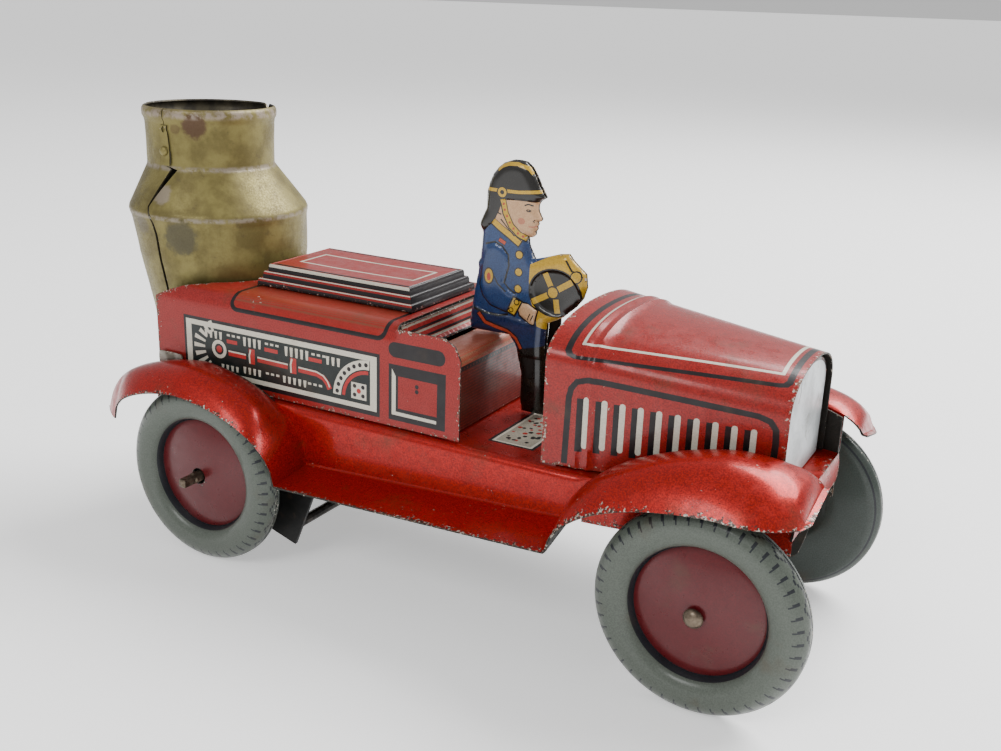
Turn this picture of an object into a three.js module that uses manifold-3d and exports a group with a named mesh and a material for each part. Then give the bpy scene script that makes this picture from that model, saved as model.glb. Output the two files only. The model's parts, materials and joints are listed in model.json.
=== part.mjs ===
// Pressed-tin toy fire engine with a clockwork motor: steam pumper body, open
// boiler, seated driver. Millimetres, +X forwards, +Z up, left side at +Y.
// Heights are from the ground and stations are from the rear axle; the finished
// group is then centred on its own box, standing on z = 0.
import * as THREE from 'three';
import { mergeVertices } from 'three/addons/utils/BufferGeometryUtils.js';
import Module from 'manifold-3d';

const wasm = await Module();
wasm.setup();

// ---------------------------------------------------------------- dimensions
const gap = 0.3;                // clearance between pieces that touch
const tin = 0.7;                // wall of the pressed sheet
const wheelRadius = 21;
const wheelFacets = 28;         // flats round each tyre
const wheelBase = 119.5;
const frontTrack = 61.4;        // between the mid planes of the front tyres
const rearTrack = 64.4;
const hubRadius = 13.1;         // black ring where the hub dish begins
const crownWidth = 3.4;         // tread width of a tyre
const frontAxleRadius = 1.1;
const arborRadius = 1.3;
const arborTip = 39.8;          // winding end, outside the right rear wheel
const hubHoleSlack = 0.6;       // play of the rear hub hole round the arbor

const floorTop = 39.3;
const floorRear = -21.2;
const floorFront = 132;
const chassisHalf = 25.3;       // half width over the sills
const chassisNoseHalf = 17.4;   // the same at the front apron
const taperStart = 84;
const boardEdge = 36.8;         // half width over the mudguards
const boardOuterRear = 25;      // running board heights, rising a little forwards
const boardOuterFront = 27.4;
const boardInnerRear = 26.4;
const boardInnerFront = 30.1;
const apronBottom = 32.6;
const bayPlay = 2;              // room round the foot of the boiler
const hangerFoot = 12.6;        // lowest point of the front axle hangers
const hangerHalf = 5.5;         // half width of a hanger at its foot
const hangerSpread = 11.5;      // and where it meets the sill

const bodyHalf = 23.4;
const bodyTop = 62;
const bodyShoulder = 4;
const bodyFront = 62.8;
const bodySideTop = 61.3;       // flat cockpit sides
const cockpitRear = 47;
const boilerBay = 58.4;         // top of the side panels at their rear corners
const boilerBayFront = -9;

const hoodRear = 82;
const hoodFront = 128.6;
const hoodRearHalf = 23.4;
const hoodFrontHalf = 15.8;
const hoodRearTop = 68.9;
const hoodFrontTop = 63.9;
const hoodEave = [8.2, 8.6];    // rise of the roof above its shoulders, rear and front
const radiatorRecess = 1;
const dashStation = 85;

const lidRear = 1.4;
const lidLength = 43;
const lidHalf = 13.4;
const lidHeight = 4.8;
const lidSteps = 3;
const lidStepIn = 0.9;

const seatFront = 59.8;
const seatTop = 56.6;
const seatNose = 2.6;

const boilerStation = -21.5;    // axis of the boiler at its shoulder and foot
const boilerNeckShift = -2;     // the neck sits a little to the rear
const boilerBelly = 1.5;        // the barrel bows forwards between shoulder and foot
const boilerRim = 100.8;
const boilerRimRadius = 16;
const boilerNeckRadius = 15.3;
const boilerNeckBase = 87;
const boilerShoulder = 76.5;
const boilerShoulderRadius = 21.7;
const boilerFoot = 33.6;
const boilerFootRadius = 15.2;
const boilerSlit = 0.8;

const driverHalf = 2.4;         // thickness of each half of the driver
const driverSeam = 0.8;         // the seam between the halves, off the centre line
const driverRound = 1.2;        // rounding of the pressed edges

const gearModule = 0.6;
const greatTeeth = 36;
const pinionTeeth = 10;
const layTeeth = 28;
const driveTeeth = 18;
const gearWidth = 1.6;
const layAngle = -12;           // the layshaft lies ahead of and below the axle
const rightPlate = -23.4;       // inner faces of the motor plates
const middlePlate = -4;
const leftPlate = 12;
const plateWall = 0.8;
const springTurns = 5;
const springInner = 2.6;
const springOuter = 9.4;
const springWidth = 11;
const springWall = 0.5;

const axleHeight = wheelRadius * Math.cos(Math.PI / wheelFacets);
const axleSpacing = gearModule * (greatTeeth + pinionTeeth) / 2;
const layX = axleSpacing * Math.cos(THREE.MathUtils.degToRad(layAngle));
const layZ = axleHeight + axleSpacing * Math.sin(THREE.MathUtils.degToRad(layAngle));

// ------------------------------------------------------------------ finishes
function finish(color, roughness, metalness) {
  return new THREE.MeshStandardMaterial({ color, roughness, metalness });
}

const finishes = {
  redTin: finish(0xc0271b, 0.35, 0.3),
  brassTin: finish(0x9a8a4c, 0.4, 0.6),
  greyTyre: finish(0x6b6e65, 0.5, 0.1),
  backTin: finish(0x33352f, 0.6, 0.2),
  brightTin: finish(0xb8b9b4, 0.35, 0.7),
  tanTin: finish(0x9b7b57, 0.5, 0.3),
  blueTin: finish(0x1f2c55, 0.3, 0.2),
  blackSteel: finish(0x1a1a1a, 0.4, 0.6),
  darkSteel: finish(0x4a4038, 0.45, 0.8),
  gearBrass: finish(0xb08d45, 0.35, 0.8),
  blueSpring: finish(0x3c4152, 0.3, 0.9),
};

// ----------------------------------------------------------------- solid work
function solidOf(geometry) {
  const bare = geometry.index ? geometry.toNonIndexed() : geometry.clone();
  for (const name of Object.keys(bare.attributes)) {
    if (name !== 'position') bare.deleteAttribute(name);
  }
  const merged = mergeVertices(bare, 1e-4);
  return new wasm.Manifold(new wasm.Mesh({
    numProp: 3,
    vertProperties: new Float32Array(merged.attributes.position.array),
    triVerts: new Uint32Array(merged.index.array),
  }));
}

function geometryOf(solid) {
  const mesh = solid.getMesh();
  const geometry = new THREE.BufferGeometry();
  geometry.setAttribute('position', new THREE.BufferAttribute(mesh.vertProperties, 3));
  geometry.setIndex(new THREE.BufferAttribute(mesh.triVerts, 1));
  geometry.computeVertexNormals();
  return geometry;
}

function join(...geometries) {
  return geometryOf(geometries.map(solidOf).reduce((a, b) => a.add(b)));
}

function cut(geometry, ...tools) {
  return geometryOf(tools.map(solidOf).reduce((a, b) => a.subtract(b), solidOf(geometry)));
}

function box(x0, x1, y0, y1, z0, z1) {
  const geometry = new THREE.BoxGeometry(x1 - x0, y1 - y0, z1 - z0);
  return geometry.translate((x0 + x1) / 2, (y0 + y1) / 2, (z0 + z1) / 2);
}

// A round bar along Y.
function bar(x, z, radius, y0, y1, sides = 12) {
  const geometry = new THREE.CylinderGeometry(radius, radius, y1 - y0, sides);
  return geometry.translate(x, (y0 + y1) / 2, z);
}

// A turned piece about an axis along Y, from a closed profile of [radius, y].
function turned(profile, sides = 16) {
  const points = profile.map(([radius, y]) => new THREE.Vector2(radius, y));
  return new THREE.LatheGeometry(points, sides);
}

function shapeOf(points) {
  return new THREE.Shape(points.map(([a, b]) => new THREE.Vector2(a, b)));
}

// A flat plate in the XZ plane between y0 and y1, from an outline of [x, z].
function plateXZ(points, y0, y1) {
  const geometry = new THREE.ExtrudeGeometry(shapeOf(points), { depth: y1 - y0, bevelEnabled: false });
  return geometry.rotateX(Math.PI / 2).translate(0, y1, 0);
}

// A section of [y, z] drawn along X from x0 to x1.
function drawnX(points, x0, x1) {
  const geometry = new THREE.ExtrudeGeometry(shapeOf(points), { depth: x1 - x0, bevelEnabled: false });
  return geometry.rotateX(Math.PI / 2).rotateZ(Math.PI / 2).translate(x0, 0, 0);
}

// A curved sheet of even wall from rows of points on its outer face, closed
// round all four edges; `side` is +1 or -1 for the side its wall lies on.
function sheet(rows, wall, side = 1) {
  const count = rows.length;
  const width = rows[0].length;
  const at = (i, j) => rows[Math.min(Math.max(i, 0), count - 1)][Math.min(Math.max(j, 0), width - 1)];
  const positions = [];
  const indices = [];
  const put = (p) => positions.push(p.x, p.y, p.z) / 3 - 1;
  const outer = rows.map((row) => row.map(put));
  const inner = rows.map((row, i) => row.map((p, j) => {
    const along = at(i + 1, j).clone().sub(at(i - 1, j));
    const across = at(i, j + 1).clone().sub(at(i, j - 1));
    const normal = along.cross(across).normalize();
    return put(p.clone().addScaledVector(normal, wall * side));
  }));
  const quad = (a, b, c, d) => {
    if (side > 0) indices.push(a, c, b, a, d, c);
    else indices.push(a, b, c, a, c, d);
  };
  for (let i = 0; i < count - 1; i += 1) {
    for (let j = 0; j < width - 1; j += 1) {
      quad(outer[i][j], outer[i + 1][j], outer[i + 1][j + 1], outer[i][j + 1]);
      quad(inner[i][j], inner[i][j + 1], inner[i + 1][j + 1], inner[i + 1][j]);
    }
    quad(outer[i][0], inner[i][0], inner[i + 1][0], outer[i + 1][0]);
    quad(outer[i][width - 1], outer[i + 1][width - 1], inner[i + 1][width - 1], inner[i][width - 1]);
  }
  for (let j = 0; j < width - 1; j += 1) {
    quad(outer[0][j], outer[0][j + 1], inner[0][j + 1], inner[0][j]);
    quad(outer[count - 1][j], inner[count - 1][j], inner[count - 1][j + 1], outer[count - 1][j + 1]);
  }
  const geometry = new THREE.BufferGeometry();
  geometry.setAttribute('position', new THREE.Float32BufferAttribute(positions, 3));
  geometry.setIndex(indices);
  return geometry;
}

const lerp = THREE.MathUtils.lerp;
const smooth = THREE.MathUtils.smoothstep;

function mirroredY(geometry) {
  const copy = geometry.clone().scale(1, -1, 1);
  const order = copy.index.array;
  for (let k = 0; k < order.length; k += 3) {
    [order[k], order[k + 1]] = [order[k + 1], order[k]];
  }
  return copy;
}

const engine = new THREE.Group();

function add(name, geometry, material) {
  const mesh = new THREE.Mesh(geometry, material);
  mesh.name = name;
  engine.add(mesh);
  return mesh;
}

// -------------------------------------------------------------------- chassis
// Half width of the chassis sides: parallel to the cowl, then drawn in.
function sideAt(x) {
  return lerp(chassisHalf, chassisNoseHalf, smooth(x, taperStart, floorFront + 20) * 1.35);
}

// Mudguards: stations of the ends of the lip and of the crest line, heights at
// the crest, and heights of the free end.
const rearGuard = { rear: -26, tail: -34, crest: -4, front: 24, top: 46, lip: 40.4, end: 29.5 };
const frontGuard = {
  rear: 90, tail: 90, crest: 121, front: 136, top: 50.4, lip: 42.4, endTop: 44.6, endLip: 41.6,
};

// Height of a mudguard's outer lip (edge = 0) or crest line (edge = 1).
function guardHeight(guard, x, edge, rearEnd, frontEnd) {
  const peak = lerp(guard.lip, guard.top, edge);
  const end = x < guard.crest ? rearEnd : frontEnd;
  const rear = lerp(guard.rear, guard.tail, edge);
  const reach = x < guard.crest ? guard.crest - rear : guard.front - guard.crest;
  const t = Math.min(Math.abs(x - guard.crest) / reach, 1);
  return lerp(end, peak, Math.sqrt(Math.max(1 - t ** 2.3, 0)) * 0.85 + (1 - t) * 0.15);
}

function boardHeight(x, edge) {
  const along = (x - rearGuard.front) / (frontGuard.rear - rearGuard.front);
  const t = THREE.MathUtils.clamp(along, 0, 1);
  const outer = lerp(boardOuterRear, boardOuterFront, t);
  return lerp(outer, lerp(boardInnerRear, boardInnerFront, t), edge);
}

function wingHeight(x, edge) {
  const board = boardHeight(x, edge);
  if (x < (rearGuard.front + frontGuard.rear) / 2) {
    const height = guardHeight(rearGuard, x, edge, rearGuard.end, board);
    return x < rearGuard.crest ? height : Math.max(height, board);
  }
  const nose = lerp(frontGuard.endLip, frontGuard.endTop, edge);
  return Math.max(guardHeight(frontGuard, x, edge, board, nose), board);
}

const wingNose = frontGuard.front + 1.4;
const wingSteps = 42;
const wingStations = [];
for (let k = 0; k <= wingSteps; k += 1) {
  wingStations.push(lerp(rearGuard.tail, wingNose, k / wingSteps));
}

// Half width over the lips, which draw in round the nose and towards the tail.
const noseStart = 126;
const noseDraw = 13;
const tailStart = -16;
const tailReach = 14;
const tailDraw = 5;
function wingOuter(x) {
  const nose = Math.max(x - noseStart, 0) / (wingNose + 0.2 - noseStart);
  const tail = Math.max(tailStart - x, 0) / tailReach;
  return boardEdge - noseDraw * (1 - Math.sqrt(1 - nose * nose)) - tailDraw * tail * tail;
}

// The running board with both mudguards, right side, in one sheet. Its section
// is flat along the board and crowned where it stands higher than wide.
const wingAcross = [0, 0.12, 0.34, 0.62, 0.85, 1];
const wingRise = [0, 0.42, 0.83, 1, 0.98, 0.9];
const crownFrom = 3.5;
const crownTo = 4.5;
const wallOverlap = 0.2;
function wing() {
  return sheet(wingStations.map((x) => wingAcross.map((s, j) => {
    const low = wingHeight(x, 0);
    const high = wingHeight(x, 1);
    const lift = lerp(s, wingRise[j], smooth(high - low, crownFrom, crownTo));
    const y = -lerp(wingOuter(x), sideAt(x) - wallOverlap, s);
    return new THREE.Vector3(x, y, lerp(low, high, lift));
  })), tin, -1);
}

// The sill wall, right side: down to the running board between the wheels, up to
// the mudguards over them, with the hanger for the front axle.
const wallSteps = 60;
function sideWall() {
  const rows = [];
  for (let k = 0; k <= wallSteps; k += 1) {
    const x = lerp(floorRear, floorFront, k / wallSteps);
    const guardEdge = lerp(wingHeight(x, 0), wingHeight(x, 1), wingRise[5]) - tin / 2;
    const top = Math.max(floorTop, guardEdge);
    const hanger = 1 - smooth(Math.abs(x - wheelBase), hangerHalf, hangerSpread);
    const bottom = lerp(Math.min(boardHeight(x, 1) - tin, guardEdge), hangerFoot, hanger);
    const y = -sideAt(x);
    rows.push([0, 1].map((t) => new THREE.Vector3(x, y, lerp(bottom, top, t))));
  }
  return sheet(rows, tin, -1);
}

function chassisFloor() {
  const outline = [];
  for (let k = 0; k <= 12; k += 1) {
    const x = lerp(floorRear, floorFront, k / 12);
    outline.push([x, -sideAt(x) + 0.1]);
  }
  const left = outline.map(([x, y]) => [x, -y]).reverse();
  const shape = shapeOf(outline.concat(left));
  const floor = new THREE.ExtrudeGeometry(shape, { depth: tin, bevelEnabled: false });
  floor.translate(0, 0, floorTop - tin);
  const bayRadius = boilerFootRadius + bayPlay;
  const bay = new THREE.CylinderGeometry(bayRadius, bayRadius, 8, 28);
  bay.rotateX(Math.PI / 2).translate(boilerStation, 0, floorTop);
  return cut(floor, bay);
}

const apron = box(floorFront - tin, floorFront, -sideAt(floorFront) + 0.1, sideAt(floorFront) - 0.1,
  apronBottom, floorTop);
const axleHoles = bar(wheelBase, axleHeight, frontAxleRadius + gap, -40, 40);
add('chassis', cut(
  join(chassisFloor(), wing(), mirroredY(wing()), sideWall(), mirroredY(sideWall()), apron),
  axleHoles,
), finishes.redTin);

// ---------------------------------------------------------------------- body
function arch(half, bottom, top, shoulder, steps = 4) {
  const points = [[-half, bottom]];
  for (let k = 0; k <= steps; k += 1) {
    const a = Math.PI - (Math.PI / 2) * (k / steps);
    points.push([-half + shoulder + shoulder * Math.cos(a), top - shoulder + shoulder * Math.sin(a)]);
  }
  const right = points.map(([y, z]) => [-y, z]).reverse();
  return points.concat(right).reverse();
}

const shellBottom = floorTop + gap;
const wide = 30;                // beyond the half width of everything cut across
const shellOuter = drawnX(arch(bodyHalf, shellBottom, bodyTop, bodyShoulder), floorRear, bodyFront);
const shellInner = drawnX(arch(bodyHalf - tin, shellBottom - 1, bodyTop - tin, bodyShoulder - tin),
  floorRear - 1, bodyFront + 1);
const boilerTopBay = new THREE.CylinderGeometry(boilerShoulderRadius, boilerShoulderRadius, 20, 32)
  .rotateX(Math.PI / 2).translate(boilerStation, 0, bodyTop);
const shoulderBase = bodyTop - bodyShoulder;
const bodyShell = cut(
  shellOuter,
  shellInner,
  boilerTopBay,
  plateXZ([[floorRear - 1, boilerBay - 0.3], [boilerBayFront, bodyTop], [boilerBayFront, bodyTop + 1],
    [floorRear - 1, bodyTop + 1]], -wide, wide),
  box(cockpitRear, bodyFront + 1, -wide, wide, shoulderBase, bodyTop + 1),
);

// The cockpit's flat sides, their upper front corners rounded off.
function cockpitSide(sign) {
  const inside = sign * (bodyHalf - tin);
  const outside = sign * bodyHalf;
  return box(cockpitRear, bodyFront, Math.min(inside, outside), Math.max(inside, outside),
    shoulderBase - 1, bodySideTop);
}

const clipStation = -16.6;
const clipHeight = 43.5;
const clipHalf = [3.7, 1.7];    // half length and half height of a clip's plate
const clipNeck = 0.6;           // thickness of its neck
const clipNeckHalf = 1.5;       // half height of its neck
const clipHole = clipNeck / 2 + gap;
const clipHoleHalf = clipNeckHalf + gap;
add('body_shell', cut(
  join(bodyShell, cockpitSide(-1), cockpitSide(1)),
  plateXZ([[bodyFront - 5, bodySideTop + 1], [bodyFront - 4, bodySideTop],
    [bodyFront - 1.4, bodySideTop - 1.4], [bodyFront, bodySideTop - 4.2],
    [bodyFront + 1, bodySideTop - 5], [bodyFront + 1, bodySideTop + 1]], -wide, wide),
  box(clipStation - clipHole, clipStation + clipHole, -wide, wide,
    clipHeight - clipHoleHalf, clipHeight + clipHoleHalf),
), finishes.redTin);

// Bent tin clips that hold the boiler to the side panels.
for (const [side, sign] of [['right', -1], ['left', 1]]) {
  const face = sign * (bodyHalf + gap);
  const front = face + sign * clipNeck;
  const neckEnd = sign * (bodyHalf - tin - 2);
  const plate = box(clipStation - clipHalf[0], clipStation + clipHalf[0], Math.min(face, front),
    Math.max(face, front), clipHeight - clipHalf[1], clipHeight + clipHalf[1]);
  const neck = box(clipStation - clipNeck / 2, clipStation + clipNeck / 2, Math.min(front, neckEnd) + 0.1,
    Math.max(front, neckEnd) - 0.1, clipHeight - clipNeckHalf, clipHeight + clipNeckHalf);
  add(`${side}_boiler_clip`, join(plate, neck), finishes.brightTin);
}

// ------------------------------------------------------------------- hose lid
function lidBlock(wall) {
  const blocks = [];
  for (let k = 0; k < lidSteps; k += 1) {
    const shrink = k * lidStepIn + wall;
    const bottom = bodyTop + gap - (wall > 0 ? 1 : 0);
    const top = bodyTop + gap + lidHeight * (k + 1) / lidSteps - wall;
    blocks.push(box(lidRear + shrink, lidRear + lidLength - shrink, -lidHalf + shrink, lidHalf - shrink,
      bottom, top));
  }
  return join(...blocks);
}

add('hose_lid', cut(lidBlock(0), lidBlock(tin)), finishes.redTin);

// ----------------------------------------------------------------------- seat
const seatHalf = bodyHalf - tin - gap;
function strip(path, wall) {
  const rows = path.map(([x, z]) => [-seatHalf, seatHalf].map((y) => new THREE.Vector3(x, y, z)));
  return sheet(rows, wall, 1);
}

const noseArc = [];
for (let k = 0; k <= 4; k += 1) {
  const a = (Math.PI / 2) * (k / 4);
  const x = seatFront - seatNose + seatNose * Math.cos(a);
  noseArc.push([x, seatTop - seatNose + seatNose * Math.sin(a)]);
}
const seatRear = 51.2;
const seatPath = [[seatFront, shellBottom], ...noseArc, [seatRear, seatTop - 0.6]];
add('seat_box', strip(seatPath, tin), finishes.tanTin);
const backFoot = seatRear - 0.9;
const backTop = 47.8;
add('seat_back', strip([[backFoot, seatTop - 0.1], [lerp(backFoot, backTop, 0.36), seatTop + 0.7],
  [lerp(backFoot, backTop, 0.76), seatTop + 2.4], [backTop + 0.1, seatTop + 4.2],
  [backTop, bodyTop - 0.2]], tin), finishes.redTin);

// ----------------------------------------------------------------------- hood
const hoodSlope = (x) => (x - hoodRear) / (hoodFront - hoodRear);

// Section of the hood: straight sides, round shoulders and a crowned roof.
function hoodSection(x, inset = 0, lift = 0) {
  const t = hoodSlope(x);
  const half = lerp(hoodRearHalf, hoodFrontHalf, t) - inset + lift;
  const top = lerp(hoodRearTop, hoodFrontTop, t) - inset + lift;
  const eave = lerp(hoodEave[0], hoodEave[1], t);
  const side = [[half, shellBottom], [half, shellBottom + 8], [half, top - eave],
    [half * 0.975, top - eave * 0.7], [half * 0.87, top - eave * 0.42],
    [half * 0.62, top - eave * 0.2], [half * 0.3, top - eave * 0.05]];
  const left = side.map(([y, z]) => [-y, z]).reverse();
  return side.concat([[0, top]], left);
}

const hoodStations = [hoodRear, 87.5, 89, 90.2, 91.4, 92.6, 110, 125, hoodFront];
const ribLift = [0, 0, 0.5, 0.2, 0.5, 0, 0, 0, 0];
add('hood', sheet(hoodStations.map((x, k) => hoodSection(x, 0, ribLift[k])
  .map(([y, z]) => new THREE.Vector3(x, y, z))), tin, 1), finishes.redTin);

const radiatorX = hoodFront - radiatorRecess;
add('radiator', drawnX(hoodSection(radiatorX, tin + gap).reverse(), radiatorX - tin, radiatorX),
  finishes.brightTin);
const dashInset = tin + 2 * gap;
add('dashboard', drawnX(hoodSection(dashStation, dashInset).reverse(), dashStation - tin, dashStation),
  finishes.tanTin);

// --------------------------------------------------------------------- boiler
// How far the boiler's axis lies ahead of its station at a height.
function boilerBow(z) {
  if (z > boilerShoulder) {
    return boilerNeckShift * Math.min((z - boilerShoulder) / (boilerNeckBase - boilerShoulder), 1);
  }
  return boilerBelly * Math.sin(Math.PI * (boilerShoulder - z) / (boilerShoulder - boilerFoot));
}

// Rolled from one sheet: split down the right side, open at the top and bottom.
function boilerShell() {
  const waist = boilerShoulder - 10.5;
  const outer = [[boilerFootRadius, boilerFoot],
    [lerp(boilerFootRadius, boilerShoulderRadius, 0.4), boilerShoulder - 26],
    [boilerShoulderRadius - 1.2, waist], [boilerShoulderRadius - 0.4, boilerShoulder - 1.6],
    [boilerShoulderRadius, boilerShoulder], [boilerNeckRadius, boilerNeckBase],
    [boilerNeckRadius + 0.1, boilerRim - 3.4], [boilerRimRadius, boilerRim - 2.2],
    [boilerRimRadius, boilerRim]];
  const inner = outer.map(([r, z]) => [r - tin, z]).reverse();
  inner[inner.length - 1][1] = boilerFoot;
  const points = outer.concat(inner, [outer[0]]).map(([r, z]) => new THREE.Vector2(r, z));
  const shell = new THREE.LatheGeometry(points, 32);
  shell.rotateX(Math.PI / 2).translate(boilerStation, 0, 0);
  const place = shell.attributes.position;
  for (let k = 0; k < place.count; k += 1) {
    place.setX(k, place.getX(k) + boilerBow(place.getZ(k)));
  }
  const slit = box(boilerStation - boilerSlit / 2, boilerStation + boilerSlit / 2, -wide, 0,
    boilerFoot - 1, boilerShoulder);
  const gape = plateXZ([[boilerStation - 2.2, boilerShoulder + 4], [boilerStation + 0.2, boilerShoulder - 3],
    [boilerStation, boilerShoulder + 6], [boilerStation + boilerNeckShift - 0.3, boilerNeckBase]], -wide, 0);
  return cut(shell, slit, gape);
}

add('boiler', boilerShell(), finishes.brassTin);
const strapFoot = boilerNeckBase + 0.6;
const strapStation = boilerStation + boilerNeckShift;
add('boiler_seam_strap', box(strapStation - 1.6, strapStation + 1.6, -boilerNeckRadius - 1.1,
  -boilerNeckRadius - gap - 0.1, strapFoot, boilerRim - 3.8), finishes.brassTin);

// --------------------------------------------------------------------- driver
// One outline for both pressed halves: helmet, face, tunic, the steering wheel
// held in front, and the boots. [x, z] from the rear axle and the ground.
const driverOutline = [[53.0, 80.9], [54.4, 84.5], [54.5, 88.2], [55.6, 91.6], [58.0, 94.3],
  [60.6, 95.3], [63.5, 95.2], [65.4, 93.2], [67.0, 90.4], [68.6, 88.0], [67.0, 87.1], [67.0, 85.4],
  [67.9, 83.6], [66.9, 83.1], [66.9, 81.4], [66.4, 79.9], [64.8, 79.2], [65.2, 77.2], [66.6, 74.7],
  [69.7, 75.6], [72.4, 76.6], [74.6, 76.8], [76.0, 75.0], [78.8, 73.0], [79.2, 70.2], [77.2, 65.9],
  [73.8, 62.8], [70.3, 61.0], [70.0, 55.9], [70.4, 45.7], [70.4, shellBottom + 0.1],
  [64.9, shellBottom + 0.1], [64.4, 42.8], [64.4, 48.7], [62.8, 55.0], [61.2, 57.0],
  [57.3, seatTop + gap], [51.4, seatTop + gap], [51.0, 58.8], [51.9, 65.1], [52.6, 69.3],
  [53.4, 75.0], [53.7, 79.0]];

function driverPressing(inset) {
  const shape = shapeOf(driverOutline);
  const geometry = new THREE.ExtrudeGeometry(shape, {
    depth: driverHalf - driverRound + (inset > 0 ? 1 : 0), bevelThickness: driverRound,
    bevelSize: driverRound, bevelOffset: -driverRound - inset, bevelSegments: 2, bevelEnabled: true,
  });
  geometry.rotateX(Math.PI / 2);
  return geometry.translate(0, inset > 0 ? inset + 1 : 0, 0);
}

function driverPiece(inset) {
  const keep = box(40, 90, -driverHalf - 1, -gap / 2, 30, 110);
  return solidOf(driverPressing(inset)).intersect(solidOf(keep));
}

const driverShell = geometryOf(driverPiece(0).subtract(driverPiece(tin)));
add('driver_right_half', driverShell.clone().translate(0, driverSeam, 0), finishes.blueTin);
add('driver_left_half', mirroredY(driverShell).translate(0, driverSeam, 0), finishes.blueTin);

// --------------------------------------------------------------------- wheels
// Each wheel is two pressed halves. Profiles are [radius, y] with y outwards
// from the middle of the tread.
const crownHalf = crownWidth / 2;
function outerHalf(holeRadius) {
  const face = [[holeRadius, 2.6], [hubRadius * 0.5, 2.2], [hubRadius * 0.8, 1.3], [hubRadius, 0.3],
    [hubRadius + 0.5, 2.4], [wheelRadius * 0.8, 3.4], [wheelRadius * 0.93, 2.9],
    [wheelRadius, crownHalf - 0.4], [wheelRadius, 0]];
  const back = [[wheelRadius - tin, 0], [wheelRadius - tin, crownHalf - 0.6], [wheelRadius * 0.91, 2.2],
    [wheelRadius * 0.8, 2.7], [hubRadius + 1.2, 1.8], [hubRadius, -0.4], [hubRadius * 0.8, 0.6],
    [hubRadius * 0.5, 1.5], [holeRadius, 1.9], [holeRadius, 2.6]];
  return turned(face.concat(back).reverse(), wheelFacets);
}

function innerHalf(holeRadius) {
  const inside = [[holeRadius, -1.6], [holeRadius, -0.9], [8.2, -0.9], [9.2, -1.7],
    [wheelRadius * 0.9, -1.7], [wheelRadius - tin, -crownHalf + 0.5], [wheelRadius - tin, -gap]];
  const outside = [[wheelRadius, -gap], [wheelRadius, -crownHalf + 0.4], [wheelRadius * 0.93, -2.4],
    [9.0, -2.4], [8.0, -1.6], [holeRadius, -1.6]];
  return turned(inside.concat(outside).reverse(), wheelFacets);
}

function wheel(name, x, sign, track, holeRadius) {
  const halves = [[`${name}_wheel_outer`, outerHalf(holeRadius), finishes.greyTyre],
    [`${name}_wheel_inner`, innerHalf(holeRadius), finishes.backTin]];
  for (const [node, geometry, material] of halves) {
    geometry.rotateY(Math.PI / 2 - Math.PI / wheelFacets);
    if (sign < 0) geometry.rotateZ(Math.PI);
    geometry.translate(x, sign * track / 2, axleHeight);
    add(node, geometry, material);
  }
}

wheel('front_right', wheelBase, -1, frontTrack, frontAxleRadius + gap);
wheel('front_left', wheelBase, 1, frontTrack, frontAxleRadius + gap);
wheel('rear_right', 0, -1, rearTrack, arborRadius + hubHoleSlack);
wheel('rear_left', 0, 1, rearTrack, arborRadius + gap);

// Front axle, its ends headed over outside the hubs.
const hubFace = frontTrack / 2 + 2.6 + gap;
const headRadius = frontAxleRadius + 0.9;
add('front_axle', turned([[0, -hubFace - 1.2], [1.2, -hubFace - 1.1], [headRadius, -hubFace - 0.5],
  [headRadius, -hubFace], [frontAxleRadius, -hubFace], [frontAxleRadius, hubFace], [headRadius, hubFace],
  [headRadius, hubFace + 0.5], [1.2, hubFace + 1.1], [0, hubFace + 1.2]], 12)
  .translate(wheelBase, 0, axleHeight), finishes.darkSteel);

// ------------------------------------------------------------------ clockwork
const plateOutline = [[-10.6, floorTop - tin - gap], [-10.6, 15], [13.5, 6.4], [19.5, 4.6],
  [24.6, 17.2], [26.5, floorTop - tin - gap]];
const pillars = [[-8.4, 30.6], [21.6, 34.2], [19, 9]];
const pillarRadius = 1.2;
const layRadius = 0.8;
function motorPlate(inner, sign, arborHole) {
  const outline = plateXZ(plateOutline, Math.min(inner, inner + sign * plateWall),
    Math.max(inner, inner + sign * plateWall));
  return cut(outline, bar(0, axleHeight, arborHole, -wide, wide),
    bar(layX, layZ, layRadius + gap, -wide, wide));
}

const bearing = arborRadius + gap;
add('right_motor_plate', motorPlate(rightPlate, -1, bearing), finishes.blackSteel);
add('left_motor_plate', motorPlate(leftPlate, 1, bearing), finishes.blackSteel);
const middle = plateXZ([[-5.4, 13.4], [6, 11], [layX + 3.4, layZ - 4], [layX + 3.4, layZ + 4], [6, 27.6],
  [pillars[0][0] + 4, pillars[0][1] + 2], [pillars[0][0] - 2.2, pillars[0][1] + 2],
  [pillars[0][0] - 2.2, 24]].reverse(), middlePlate, middlePlate + plateWall);
add('middle_motor_plate', cut(middle, bar(0, axleHeight, bearing, -wide, wide),
  bar(layX, layZ, layRadius + gap, -wide, wide),
  bar(pillars[0][0], pillars[0][1], pillarRadius + gap, -wide, wide)), finishes.blackSteel);
pillars.forEach(([x, z], k) => {
  add(`motor_pillar_${k + 1}`, bar(x, z, pillarRadius, rightPlate + gap, leftPlate - gap, 10),
    finishes.darkSteel);
});

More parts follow.
